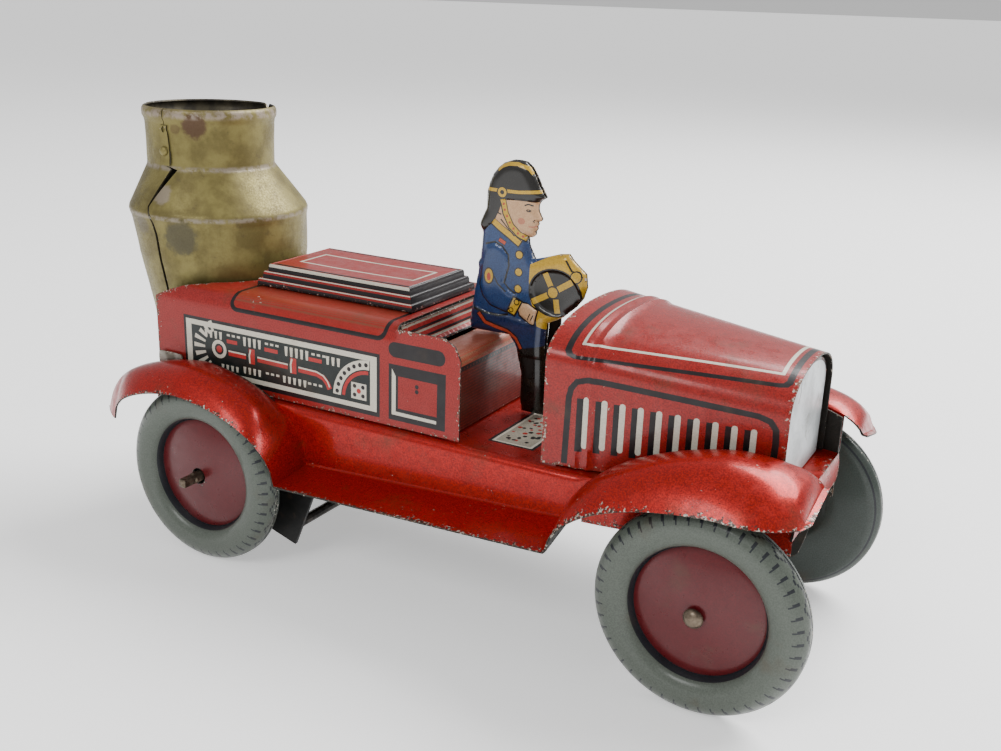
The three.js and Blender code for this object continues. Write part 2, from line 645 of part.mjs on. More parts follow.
// A spur gear about Y at the origin, with a round bore.
function gear(teeth, bore, y0, y1, turn = 0) {
  const pitch = gearModule * teeth / 2;
  const tip = pitch + gearModule * 0.9;
  const root = pitch - gearModule * 1.15;
  const outline = [];
  for (let k = 0; k < teeth; k += 1) {
    const steps = [[-0.25, root], [-0.12, tip], [0.12, tip], [0.25, root]];
    for (const [part, radius] of steps) {
      const a = 2 * Math.PI * (k + part) / teeth + turn;
      outline.push([radius * Math.cos(a), radius * Math.sin(a)]);
    }
  }
  const shape = shapeOf(outline);
  const hole = new THREE.Path();
  hole.absarc(0, 0, bore, 0, 2 * Math.PI, true);
  shape.holes.push(hole);
  const settings = { depth: y1 - y0, bevelEnabled: false, curveSegments: 6 };
  return new THREE.ExtrudeGeometry(shape, settings).rotateX(Math.PI / 2).translate(0, y1, 0);
}

const toLay = THREE.MathUtils.degToRad(layAngle);
function meshTurn(teeth) {
  return toLay + Math.PI + Math.PI / teeth;
}

const ratchetWidth = 1.4;
const pinionOverhang = 0.3;     // how far the small gears stand past their mates
const greatY = middlePlate - gap - gearWidth - 1;
const driveY = middlePlate + plateWall + 2.4;
const ratchetY = greatY - gap - ratchetWidth;
const springY = ratchetY - gap - 0.8 - springWidth;
add('winding_arbor', bar(0, axleHeight, arborRadius, -arborTip, middlePlate + plateWall / 2, 12),
  finishes.darkSteel);
add('great_wheel', gear(greatTeeth, arborRadius + gap, greatY, greatY + gearWidth, toLay)
  .translate(0, 0, axleHeight), finishes.gearBrass);
const ratchet = [];
const ratchetTeeth = 12;
const ratchetRadius = 4.6;
for (let k = 0; k < ratchetTeeth; k += 1) {
  const a = 2 * Math.PI * k / ratchetTeeth;
  const b = 2 * Math.PI * (k + 0.9) / ratchetTeeth;
  ratchet.push([ratchetRadius * Math.cos(a), ratchetRadius * Math.sin(a)]);
  ratchet.push([(ratchetRadius - 1) * Math.cos(b), (ratchetRadius - 1) * Math.sin(b)]);
}
add('ratchet_wheel', cut(plateXZ(ratchet, ratchetY, ratchetY + ratchetWidth),
  bar(0, 0, arborRadius + gap, -wide, wide)).translate(0, 0, axleHeight), finishes.gearBrass);
add('click', plateXZ([[-1.4, 6.8], [3.4, 5.0], [3.9, 5.9], [-0.2, 8.6], [-1.6, 8.4]],
  ratchetY, ratchetY + ratchetWidth - 0.2).translate(0, 0, axleHeight), finishes.darkSteel);

// Mainspring: a flat ribbon wound as a spiral from the arbor out to a pillar.
function mainspring() {
  const steps = springTurns * 20;
  const line = [];
  for (let k = 0; k <= steps; k += 1) {
    const t = k / steps;
    const a = 2 * Math.PI * springTurns * t;
    line.push([lerp(springInner, springOuter, t), a]);
  }
  const outer = line.map(([r, a]) => [r * Math.cos(a), r * Math.sin(a)]);
  const inner = line.map(([r, a]) => [(r - springWall) * Math.cos(a), (r - springWall) * Math.sin(a)]);
  const ribbon = outer.concat(inner.reverse());
  return plateXZ(ribbon, springY, springY + springWidth).translate(0, 0, axleHeight);
}

add('mainspring', mainspring(), finishes.blueSpring);

add('layshaft', bar(layX, layZ, layRadius, rightPlate - plateWall + 0.1, leftPlate + plateWall - 0.1, 10),
  finishes.darkSteel);
const layBore = layRadius + gap;
add('lay_pinion', gear(pinionTeeth, layBore, greatY - pinionOverhang,
  greatY + gearWidth + pinionOverhang, meshTurn(pinionTeeth)).translate(layX, 0, layZ), finishes.gearBrass);
add('lay_gear', gear(layTeeth, layBore, driveY, driveY + gearWidth, meshTurn(layTeeth))
  .translate(layX, 0, layZ), finishes.gearBrass);
const driveAxleEnd = rearTrack / 2 + 3.4;
add('drive_axle', bar(0, axleHeight, arborRadius, middlePlate + plateWall / 2 + gap, driveAxleEnd, 12),
  finishes.darkSteel);
add('drive_gear', gear(driveTeeth, arborRadius + gap, driveY - pinionOverhang,
  driveY + gearWidth + pinionOverhang, toLay).translate(0, 0, axleHeight), finishes.gearBrass);

// The origin is the middle of the underside of the whole box.
engine.updateMatrixWorld(true);
const bounds = new THREE.Box3().setFromObject(engine);
const centre = bounds.getCenter(new THREE.Vector3());
engine.position.set(-centre.x, -centre.y, -bounds.min.z);
engine.updateMatrixWorld(true);

export default engine;
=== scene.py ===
"""Pressed-tin clockwork toy fire engine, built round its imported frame."""

import json
import math

import bpy
import numpy as np
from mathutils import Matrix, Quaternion, Vector, noise
from mathutils.geometry import delaunay_2d_cdt


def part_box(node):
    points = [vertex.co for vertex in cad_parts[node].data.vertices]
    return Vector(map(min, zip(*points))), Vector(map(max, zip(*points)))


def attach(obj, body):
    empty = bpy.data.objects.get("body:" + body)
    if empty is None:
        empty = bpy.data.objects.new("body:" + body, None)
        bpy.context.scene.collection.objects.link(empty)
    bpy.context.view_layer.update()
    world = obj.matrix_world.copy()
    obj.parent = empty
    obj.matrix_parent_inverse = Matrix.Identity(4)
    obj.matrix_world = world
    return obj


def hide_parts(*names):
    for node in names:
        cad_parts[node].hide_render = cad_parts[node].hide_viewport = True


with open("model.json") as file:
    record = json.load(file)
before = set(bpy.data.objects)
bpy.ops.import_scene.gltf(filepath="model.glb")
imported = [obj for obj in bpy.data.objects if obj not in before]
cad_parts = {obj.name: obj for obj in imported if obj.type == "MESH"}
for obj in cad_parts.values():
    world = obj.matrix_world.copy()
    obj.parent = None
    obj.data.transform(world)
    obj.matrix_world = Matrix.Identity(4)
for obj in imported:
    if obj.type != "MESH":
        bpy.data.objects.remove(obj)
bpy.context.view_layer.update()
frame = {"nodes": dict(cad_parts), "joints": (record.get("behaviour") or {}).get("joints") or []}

# ------------------------------------------------------------------- chassis
# The red lacquered base: floor, sills, running boards and all four mudguards
# come out of one pressing, with a front apron bent down under the radiator.

mm = 0.001
spin = {joint["name"]: Vector(joint["pos_m"]) / mm for joint in frame["joints"]}
axle_height = spin["drive_spin"].z
wheel_base = spin["front_right_wheel_spin"].x - spin["drive_spin"].x


def corners(node):
    """A CAD node's box in mm, from the rear axle's foot on the centre plane."""
    return [(corner / mm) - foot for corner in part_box(node)]


foot = Vector((0, 0, 0))
chassis_box = corners("chassis")
foot = Vector((spin["drive_spin"].x, (chassis_box[0].y + chassis_box[1].y) / 2, 0))
chassis_box = corners("chassis")


def clamp(value, low=0.0, high=1.0):
    return max(low, min(high, value))


def lerp(a, b, share):
    return a + (b - a) * share


def smooth(value, low, high):
    share = clamp((value - low) / (high - low))
    return share * share * (3 - 2 * share)


def steps(low, high, size):
    """Even values from low to high, no further apart than size."""
    count = max(1, math.ceil(abs(high - low) / size))
    return [lerp(low, high, k / count) for k in range(count + 1)]


def divided(loop, size):
    """A closed outline with points added where a side is longer than size."""
    points = []
    for a, b in zip(loop, loop[1:] + loop[:1]):
        count = max(1, math.ceil(math.dist(a, b) / size))
        points += [(lerp(a[0], b[0], k / count), lerp(a[1], b[1], k / count)) for k in range(count)]
    return points


def covers(loops, spots):
    """Which spots lie inside the loops, where a loop within a loop is a hole."""
    hit = np.zeros(len(spots), bool)
    for loop in loops:
        for (x0, y0), (x1, y1) in zip(loop, loop[1:] + loop[:1]):
            if y0 == y1:
                continue
            crossed = (y0 > spots[:, 1]) != (y1 > spots[:, 1])
            hit ^= crossed & (spots[:, 0] < (x1 - x0) * (spots[:, 1] - y0) / (y1 - y0) + x0)
    return hit


def pressed(name, points, faces, inks, wall, face_inks=None, reach=1.6):
    """A sheet of even wall from its outer face, closed round every edge, in mm.

    The last of the inks is the bare back and edge. The attribute "edge" is 1 on
    the sheet's edges and falls to 0 at reach.
    """
    outer = np.array(points, float)
    normals = np.zeros_like(outer)
    sides = {}
    for face in faces:
        a, b, c = outer[face[0]], outer[face[1]], outer[face[-1]]
        normal = np.cross(b - a, c - a)
        for k, corner in enumerate(face):
            normals[corner] += normal
            sides[corner, face[(k + 1) % len(face)]] = True
    normals /= np.maximum(np.linalg.norm(normals, axis=1), 1e-9)[:, None]
    count = len(outer)
    rim = [(a, b) for a, b in sides if (b, a) not in sides]
    back = [[corner + count for corner in reversed(face)] for face in faces]
    walls = [[b, a, a + count, b + count] for a, b in rim]
    places = np.vstack([outer, outer - normals * wall])
    mesh = bpy.data.meshes.new(name)
    mesh.from_pydata(((places + np.array(foot)) * mm).tolist(), [], [*faces, *back, *walls])
    for ink in inks:
        mesh.materials.append(ink)
    fronts = list(face_inks) if face_inks is not None else [0] * len(faces)
    mesh.polygons.foreach_set("material_index", fronts + [len(inks) - 1] * (len(back) + len(walls)))
    nearest = np.full(count, reach)
    for corner in {corner for side in rim for corner in side}:
        np.minimum(nearest, np.linalg.norm(outer - outer[corner], axis=1), out=nearest)
    edge = mesh.attributes.new("edge", "FLOAT", "POINT")
    edge.data.foreach_set("value", np.tile(1 - nearest / reach, 2).astype(np.float32))
    mesh.shade_smooth()
    mesh.set_sharp_from_angle(angle=math.radians(38))
    mesh.validate()
    piece = bpy.data.objects.new(name, mesh)
    bpy.context.scene.collection.objects.link(piece)
    return piece


def printed(name, outline, place, prints, inks, wall, size, flip=False, whole=False):
    """A sheet printed flat, cut along its outline and then bent by place(u, v).

    prints are (loops, ink number) pairs, each painted over the ones before it.
    size is the longest side of a facet along u and along v. whole passes place
    every u and v at once, as arrays.
    """
    loops = [divided(loop, min(size)) for loop in outline]
    shapes = [([divided(list(loop), min(size)) for loop in loops_in], ink) for loops_in, ink in prints]
    flat = [corner for loop in loops for corner in loop]
    edges = []
    start = 0
    for loop in loops + [loop for loops_in, _ in shapes for loop in loops_in]:
        edges += [(start + k, start + (k + 1) % len(loop)) for k in range(len(loop))]
        start += len(loop)
    flat += [corner for loops_in, _ in shapes for loop in loops_in for corner in loop]
    us, vs = zip(*loops[0])
    lattice = np.array([(u, v) for u in steps(min(us), max(us), size[0])
                        for v in steps(min(vs), max(vs), size[1])])
    flat += [tuple(spot) for spot in lattice[covers(loops, lattice)]]
    found = delaunay_2d_cdt([Vector(spot) for spot in flat], edges, [], 0, 1e-4)
    spots = np.array([tuple(spot) for spot in found[0]])
    triangles = np.array(found[2])
    middles = spots[triangles].mean(axis=1)
    kept = covers(loops, middles)
    triangles, middles = triangles[kept], middles[kept]
    used, where = np.unique(triangles, return_inverse=True)
    triangles = where.reshape(-1, 3)
    ink_of = np.zeros(len(triangles), int)
    for loops_in, ink in shapes:
        ink_of[covers(loops_in, middles)] = ink
    if flip:
        triangles = triangles[:, ::-1]
    bend = place if whole else np.vectorize(place, otypes=[float] * 3)
    places = np.stack(bend(*spots[used].T), axis=1)
    return pressed(name, places, triangles.tolist(), inks, wall, ink_of.tolist())


def gridded(name, rows, inks, wall, row_inks=None, closed=False, flip=False):
    """A sheet from rows of points on its outer face; closed joins the rows' ends."""
    width = len(rows[0])
    faces, numbers = [], []
    for i in range(len(rows) - 1):
        for j in range(width if closed else width - 1):
            k = (j + 1) % width
            face = [i * width + j, (i + 1) * width + j, (i + 1) * width + k, i * width + k]
            faces.append(face[::-1] if flip else face)
            numbers.append(row_inks(i, j) if row_inks else 0)
    return pressed(name, [point for row in rows for point in row], faces, inks, wall, numbers)


def joined(name, pieces):
    """Several pieces of one pressing as one object."""
    with bpy.context.temp_override(active_object=pieces[0], selected_editable_objects=pieces):
        bpy.ops.object.join()
    pieces[0].name = name
    pieces[0].data.name = name
    return pieces[0]


def paint(code):
    """A linear colour from a printer's six-digit code."""
    parts = [int(code[k:k + 2], 16) / 255 for k in (0, 2, 4)]
    return [p / 12.92 if p < 0.04045 else ((p + 0.055) / 1.055) ** 2.4 for p in parts] + [1.0]


def node(tree, kind, inputs=None, **settings):
    """A shader node with its settings, its fixed inputs and its links."""
    made = tree.nodes.new("ShaderNode" + kind)
    for setting, value in settings.items():
        setattr(made, setting, value)
    for socket, value in (inputs or {}).items():
        if isinstance(value, bpy.types.NodeSocket):
            tree.links.new(value, made.inputs[socket])
        else:
            made.inputs[socket].default_value = value
    return made


def math_node(tree, operation, *values):
    return node(tree, "Math", dict(enumerate(values)), operation=operation).outputs[0]


def cloud(tree, at, size, detail=2.0, roughness=0.5):
    """Soft random patches of about this size in mm, as a value round 0.5."""
    return node(tree, "TexNoise", {"Vector": at, "Scale": 1 / (size * mm), "Detail": detail,
                                   "Roughness": roughness}).outputs["Fac"]


def blend(tree, share, low, high):
    """Mix two colours. The node keeps its colour sockets after its number sockets."""
    mixed = tree.nodes.new("ShaderNodeMix")
    mixed.data_type = "RGBA"
    for socket, value in ((mixed.inputs[0], share), (mixed.inputs[6], low), (mixed.inputs[7], high)):
        if isinstance(value, bpy.types.NodeSocket):
            tree.links.new(value, socket)
        else:
            socket.default_value = value
    return mixed.outputs[2]


def ramp(tree, value, low, high, to_low=0.0, to_high=1.0):
    return node(tree, "MapRange", {"Value": value, "From Min": low, "From Max": high, "To Min": to_low,
                                   "To Max": to_high}, interpolation_type="SMOOTHSTEP").outputs["Result"]


def enamel(name, colour, deep=None, metal=0.15, gloss=0.3, coat=0.2, wear=0.3, grain=0.35, dirt="4a3a28",
           chip="5a4636", dots=None, dot_size=0.55):
    """Ink or lacquer on tin: fine grain, slow changes of tone, chips and rubbed edges.

    dots prints a halftone of that colour over it, in rows on the diagonal.
    """
    made = bpy.data.materials.new(name)
    made.use_nodes = True
    tree = made.node_tree
    shader = tree.nodes["Principled BSDF"]
    at = node(tree, "TexCoord").outputs["Object"]
    edge = node(tree, "Attribute", attribute_name="edge").outputs["Fac"]
    fine = cloud(tree, at, 0.3, 2.0)
    slow = cloud(tree, at, 9.0, 3.0, 0.6)
    tone = blend(tree, ramp(tree, fine, 0.3, 0.7, 0.0, grain * 2), paint(colour), paint(deep or colour))
    if dots:
        place = node(tree, "SeparateXYZ", {"Vector": at})
        pitch = 2 * math.pi / (dot_size * mm)
        along = math_node(tree, "ADD", place.outputs[0], place.outputs[1])
        across = math_node(tree, "SUBTRACT", place.outputs[0], place.outputs[1])
        across = math_node(tree, "ADD", across, place.outputs[2])
        waves = [math_node(tree, "SINE", math_node(tree, "MULTIPLY", way, pitch))
                 for way in (along, across)]
        spots = math_node(tree, "MULTIPLY", *waves)
        shown = ramp(tree, math_node(tree, "ADD", spots, math_node(tree, "MULTIPLY", slow, 0.9)), 0.35,
                     0.75)
        tone = blend(tree, shown, tone, paint(dots))
    grime = ramp(tree, slow, 0.55, 0.85, 0.0, 0.55)
    tone = blend(tree, grime, tone, paint(dirt))
    speck = cloud(tree, at, 0.75, 5.0, 0.62)
    area = cloud(tree, at, 14.0, 2.0)
    rub = math_node(tree, "ADD", math_node(tree, "MULTIPLY", area, 0.35),
                    math_node(tree, "MULTIPLY", edge, 0.22))
    rub = math_node(tree, "ADD", rub, speck)
    chipped = ramp(tree, rub, 1.02 - wear * 0.4, 1.07 - wear * 0.4)
    bright = blend(tree, ramp(tree, cloud(tree, at, 0.5, 2.0), 0.5, 0.62), paint(chip), paint("b9b2a6"))
    tree.links.new(blend(tree, chipped, tone, bright), shader.inputs["Base Color"])
    scuff = cloud(tree, at, 2.5, 4.0, 0.65)
    rough = math_node(tree, "ADD", ramp(tree, scuff, 0.3, 0.8, gloss, gloss + 0.22),
                      math_node(tree, "MULTIPLY", chipped, 0.2))
    tree.links.new(rough, shader.inputs["Roughness"])
    shader.inputs["Metallic"].default_value = metal
    shader.inputs["Coat Weight"].default_value = coat
    shader.inputs["Coat Roughness"].default_value = 0.12
    shader.inputs["Specular IOR Level"].default_value = 0.3
    height = math_node(tree, "SUBTRACT", math_node(tree, "MULTIPLY", cloud(tree, at, 3.5, 2.0), 0.5),
                       math_node(tree, "MULTIPLY", chipped, 0.25))
    height = math_node(tree, "ADD", height, math_node(tree, "MULTIPLY", fine, 0.04))
    bump = node(tree, "Bump", {"Height": height, "Strength": 0.3, "Distance": 0.25 * mm})
    tree.links.new(bump.outputs["Normal"], shader.inputs["Normal"])
    return made


chassis_red = enamel("red_lacquer", "b01a10", "7c0c06", metal=0.5, gloss=0.25, wear=0.4, grain=0.5,
                     chip="3c2a22")
dark_back = enamel("dull_back", "2c2a26", "1c1b18", metal=0.3, gloss=0.5, coat=0.0, wear=0.2)
black_ink = enamel("black_ink", "1a1416", "100c0e", gloss=0.32, wear=0.24, chip="7a3d30")
# White print; on the hose lid the same white also serves as a painted highlight along each ridge top.
white_ink_and_painted_highlight = enamel("white_ink_and_painted_highlight", "cfcabb", "b9b3a2", gloss=0.35, wear=0.26, dirt="8a7a60")
red_ink = enamel("red_ink", "a8241a", "8c1812", gloss=0.3, wear=0.3)

tin_wall = 0.4
floor_top = 39.3
floor_rear, floor_front = -21.2, chassis_box[1].x - 5.6
sill_half, nose_half, taper_start = 25.3, 17.4, 84.0
board_edge = -chassis_box[0].y - 0.04
guard_top = chassis_box[1].z
rear_guard = {"rear": -26, "tail": -34, "crest": -4, "front": 24, "top": 46, "lip": 40.4}
front_guard = {"rear": 90, "tail": 90, "crest": 121, "front": 136, "top": guard_top, "lip": guard_top - 8}
sill_round = 1.6
floor_flat, wall_flat, wing_flat = 24.0, 12.0, 15.0


def side_at(x):
    return lerp(sill_half, nose_half, smooth(x, taper_start, floor_front + 20) * 1.35)


def guard_height(guard, x, edge, rear_end, front_end):
    peak = lerp(guard["lip"], guard["top"], edge)
    end = rear_end if x < guard["crest"] else front_end
    rear = lerp(guard["rear"], guard["tail"], edge)
    reach = guard["crest"] - rear if x < guard["crest"] else guard["front"] - guard["crest"]
    share = min(abs(x - guard["crest"]) / reach, 1)
    return lerp(end, peak, math.sqrt(max(1 - share ** 2.3, 0)) * 0.85 + (1 - share) * 0.15)


def board_height(x, edge):
    share = clamp((x - rear_guard["front"]) / (front_guard["rear"] - rear_guard["front"]))
    return lerp(lerp(25, 27.4, share), lerp(26.4, 30.1, share), edge)


def wing_height(x, edge):
    board = board_height(x, edge)
    if x < rear_guard["crest"]:
        return guard_height(rear_guard, x, edge, 29.5, board)
    if x < (rear_guard["front"] + front_guard["rear"]) / 2:
        return max(guard_height(rear_guard, x, edge, 29.5, board), board)
    return max(guard_height(front_guard, x, edge, board, lerp(41.6, 44.6, edge)), board)


def wing_outer(x):
    nose = clamp((x - 126) / (front_guard["front"] + 1.6 - 126))
    tail = max(-16 - x, 0) / 14
    return board_edge - 13 * (1 - math.sqrt(1 - nose * nose)) - 5 * tail * tail


def wing_rise(share):
    """Section of a mudguard from its outer lip (0) to its inner edge (1)."""
    return 1 - (1 - share / 0.7) ** 2.6 if share < 0.7 else 1 - 0.1 * ((share - 0.7) / 0.3) ** 2


def wing_place(x, share):
    low, high = wing_height(x, 0), wing_height(x, 1)
    lift = lerp(share, wing_rise(share), smooth(high - low, 3.5, 4.5))
    return lerp(wing_outer(x), side_at(x) - 0.2, share), lerp(low, high, lift)


def chassis_place(x, v):
    """The chassis sheet from its centre line out over the sill to the lip."""
    hand, flat = math.copysign(1, v), abs(v)
    side = side_at(x)
    inner = wing_place(x, 1)[1]
    bend = max(min(abs(floor_top - inner) / 3, sill_round), 0.12)
    way = 1 if inner < floor_top else -1
    if flat <= floor_flat:
        y, z = flat / floor_flat * (side - bend), floor_top
    elif flat <= floor_flat + wall_flat:
        share = (flat - floor_flat) / wall_flat
        turn = clamp(share / 0.3) * math.pi / 2
        y = side - bend + bend * math.sin(turn)
        z = floor_top - way * bend * (1 - math.cos(turn))
        z = lerp(z, inner, clamp((share - 0.3) / 0.7))
    else:
        y, z = wing_place(x, 1 - (flat - floor_flat - wall_flat) / wing_flat)
    return (x, hand * y, z - 0.02)


boiler_station, boiler_hole = -21.5, 17.0
edge_flat = floor_flat + wall_flat
lip_flat = edge_flat + wing_flat
notch = [(boiler_station + boiler_hole * math.cos(a), boiler_hole * math.sin(a))
         for a in steps(math.pi / 2, -math.pi / 2, 0.15)]
wing_front = front_guard["front"] + 1.2
chassis_outline = [
    (rear_guard["tail"], -lip_flat), (wing_front, -lip_flat), (wing_front, -edge_flat),
    (floor_front, -edge_flat),
    (floor_front, edge_flat), (wing_front, edge_flat), (wing_front, lip_flat),
    (rear_guard["tail"], lip_flat),
    (rear_guard["tail"], edge_flat), (floor_rear, edge_flat), *notch, (floor_rear, -edge_flat),
    (rear_guard["tail"], -edge_flat)]


def rectangle(x0, x1, z0, z1):
    return [(x0, z0), (x1, z0), (x1, z1), (x0, z1)]


def rounded(x0, x1, z0, z1, radius, parts=5):
    """A rectangle with round corners."""
    centres = [(x1 - radius, z1 - radius, 0), (x0 + radius, z1 - radius, 1), (x0 + radius, z0 + radius, 2),
               (x1 - radius, z0 + radius, 3)]
    return [(x + radius * math.cos(a), z + radius * math.sin(a)) for x, z, quarter in centres
            for a in steps(quarter * math.pi / 2, (quarter + 1) * math.pi / 2, math.pi / 2 / parts)]


def disc(x, z, radius, parts=14, tall=1.0):
    return [(x + radius * math.cos(2 * math.pi * k / parts),
             z + tall * radius * math.sin(2 * math.pi * k / parts))
            for k in range(parts)]


def stroke(path, width, taper=1.0):
    """A line of this width along an open path, as one loop."""
    left, right = [], []
    for k, (x, z) in enumerate(path):
        ahead = path[min(k + 1, len(path) - 1)]
        behind = path[max(k - 1, 0)]
        way = Vector((ahead[0] - behind[0], ahead[1] - behind[1])).normalized()
        half = width / 2 * lerp(1, taper, k / (len(path) - 1))
        left.append((x - way.y * half, z + way.x * half))
        right.append((x + way.y * half, z - way.x * half))
    return left + right[::-1]


def arc(x, z, radius, start, end, parts=10):
    return [(x + radius * math.cos(math.radians(a)), z + radius * math.sin(math.radians(a)))
            for a in (lerp(start, end, k / parts) for k in range(parts + 1))]


mat_rear, mat_front, mat_half = 66.8, 77.6, 18.6
mat_prints = [([rectangle(mat_rear, mat_front, -mat_half, mat_half)], 1),
              ([rectangle(mat_rear + 0.7, mat_front - 0.7, -mat_half + 0.7, mat_half - 0.7)], 2),
              ([rectangle(mat_rear + 1.3, mat_front - 1.3, -mat_half + 1.3, mat_half - 1.3)], 3)]
noise.seed_set(7)      # the mat's specks fall in the same places on every run
for k in range(90):
    spot = noise.random_vector()
    x = lerp(mat_rear + 2, mat_front - 2, (spot.x + 1) / 2)
    y = lerp(-mat_half + 2, mat_half - 2, (spot.y + 1) / 2)
    mat_prints.append(([disc(x, y, 0.35 + 0.3 * abs(spot.z), 6)], 1 if k % 3 else 4))

mat_grey = enamel("mat_grey", "a39d8e", "8b8577", gloss=0.4, wear=0.3, grain=0.5)
top_sheet = printed("chassis_sheet", [chassis_outline], chassis_place, mat_prints,
                    [chassis_red, black_ink, white_ink_and_painted_highlight, mat_grey, red_ink, dark_back], tin_wall, (1.1, 0.9))

apron_bottom = 32.6
apron_rows = [[(floor_front - 0.02 + 0.4 * math.sin(share * 3), y, lerp(floor_top - 0.1, apron_bottom,
                                                                        share))
               for y in steps(-side_at(floor_front), side_at(floor_front), 1.5)]
               for share in steps(0, 1, 0.2)]
apron = gridded("apron", apron_rows, [chassis_red, dark_back], tin_wall)

hanger_foot, hanger_reach = 12.6, 11.0
inner_walls = []
for hand in (-1, 1):
    for low, high in ((floor_rear, rear_guard["front"] - 1), (front_guard["rear"] + 2, floor_front)):
        rows = []
        for x in steps(low, high, 1.2):
            edge = wing_place(x, 1)[1] - 0.5
            hanger = 1 - smooth(abs(x - wheel_base), 5.5, hanger_reach)
            bottom = lerp(min(board_height(x, 1) - 0.7, edge - 0.5), hanger_foot, hanger)
            rows.append([(x, hand * (side_at(x) - 0.5), lerp(bottom, edge, share))
                         for share in steps(0, 1, 0.1)])
        inner_walls.append(gridded("inner_wall", rows, [chassis_red, dark_back], tin_wall, flip=hand > 0))
chassis = joined("chassis_pressing", [top_sheet, apron, *inner_walls])
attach(chassis, "root")
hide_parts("chassis")

# ----------------------------------------------------------------- body shell
# One printed sheet bent over both sides of the steam pumper: a machinery panel,
# a locker door and a step slot on each side, and a pinstriped hatched top.

shell_half, shell_top, shoulder, shell_bottom = 23.4, 62.0, 4.0, 39.6
shell_front, cockpit_rear, side_top = 62.8, 47.0, 61.3
arc_flat = shoulder * math.pi / 2
top_flat = shell_half - shoulder
side_flat = top_flat + arc_flat + shell_top - shoulder
front_flat = side_flat - side_top


def shell_place(x, v):
    """The body sheet from the middle of its top over the shoulder and down the side."""
    hand, flat = math.copysign(1, v), abs(v)
    turn = clamp((flat - top_flat) / arc_flat) * math.pi / 2
    drop = max(flat - top_flat - arc_flat, 0)
    y = min(flat, top_flat) + shoulder * math.sin(turn)
    z = shell_top - shoulder * (1 - math.cos(turn)) - drop
    flatten = smooth(x, cockpit_rear - 1.2,
                     cockpit_rear + 0.6) * clamp((flat - top_flat) / (front_flat - top_flat))
    return (x, hand * lerp(y, shell_half, flatten), lerp(z, side_flat - flat, flatten))


def on_sides(loops):
    """Outlines drawn on the side in x and z, laid on both sides of the flat sheet."""
    return [[(x, hand * (side_flat - z)) for x, z in loop] for hand in (-1, 1) for loop in loops]


bay_front, bay_drop, bay_radius = -9.0, 58.4, 21.7
rear_flat = top_flat + shoulder * (math.pi / 2 - math.asin((bay_drop - shell_top + shoulder) / shoulder))
bay_half = math.sqrt(bay_radius ** 2 - (bay_front - boiler_station) ** 2)
bay_turn = math.asin(bay_half / bay_radius)
bay = [(boiler_station + bay_radius * math.cos(a), bay_radius * math.sin(a))
       for a in steps(bay_turn, -bay_turn, 0.12)]
corner_round = [(shell_front - 4, front_flat), (shell_front - 1.4, front_flat + 1.4),
                (shell_front, front_flat + 4.2)]
far_side = [*corner_round, (shell_front, side_flat - shell_bottom), (floor_rear, side_flat - shell_bottom),
            (floor_rear, rear_flat)]
shell_outline = [(cockpit_rear - 0.4, -top_flat - 0.4), (cockpit_rear - 0.4, top_flat + 0.4),
                 (cockpit_rear + 0.4, front_flat), *far_side, (bay_front, top_flat), *bay,
                 (bay_front, -top_flat),
                 *[(x, -v) for x, v in reversed(far_side)], (cockpit_rear + 0.4, -front_flat)]

body_red = enamel("body_red", "982420", "741612", gloss=0.3, wear=0.34, coat=0.15, grain=0.45,
                  chip="5c3a2c")
hatched_red = enamel("hatched_red", "9c2018", "7c1610", gloss=0.28, wear=0.36, dots="74402c", dot_size=0.62)
field_ink = enamel("field_ink", "1c2422", "121716", gloss=0.34, wear=0.22, grain=0.4, chip="6a5a48")
pipe_red = enamel("pipe_red", "b02a26", "8c1c1c", gloss=0.3, wear=0.25)
BODY, BLACK, WHITE, HATCH, FIELD, PIPE = range(6)
shell_inks = [body_red, black_ink, white_ink_and_painted_highlight, hatched_red, field_ink, pipe_red, dark_back]

stripe_rear, stripe_front, stripe_low = 1.4, 44.4, side_flat - 58.1
shell_prints = [
    ([rounded(stripe_rear, stripe_front, -stripe_low, stripe_low, 2.2)], BLACK),
    ([rounded(stripe_rear + 1.0, stripe_front - 1.0, 1.0 - stripe_low, stripe_low - 1.0, 1.4)], HATCH),
    (on_sides([rectangle(-12.7, 42.9, 40.85, 55.1)]), BLACK),
    (on_sides([rectangle(-12.0, 42.1, 41.9, 54.3)]), WHITE),
    (on_sides([rectangle(-10.4, 40.4, 43.0, 53.1)]), FIELD),
]
ring_x, ring_z = -2.1, 48.3
for turn in range(112, 252, 17):
    far = 7.6 if 150 < turn < 215 else 6.9
    ray = [arc(ring_x, ring_z, r, turn, turn, 1)[0] for r in (4.3, far)]
    shell_prints.append((on_sides([stroke(ray, 0.55, 2.0)]), WHITE))
shell_prints += [(on_sides([disc(ring_x, ring_z, 2.2, 20)]), WHITE),
                 (on_sides([disc(ring_x, ring_z, 1.35, 16)]), BLACK),
                 (on_sides([disc(ring_x, ring_z, 0.85, 12)]), PIPE)]


def ticks(x, z0, z1, count, width=0.85, pitch=1.45):
    """A row of wedge ticks, wider at the top."""
    return [[(x + k * pitch, z1), (x + k * pitch + 0.15, z0), (x + k * pitch + width - 0.15, z0),
             (x + k * pitch + width, z1)] for k in range(count)]


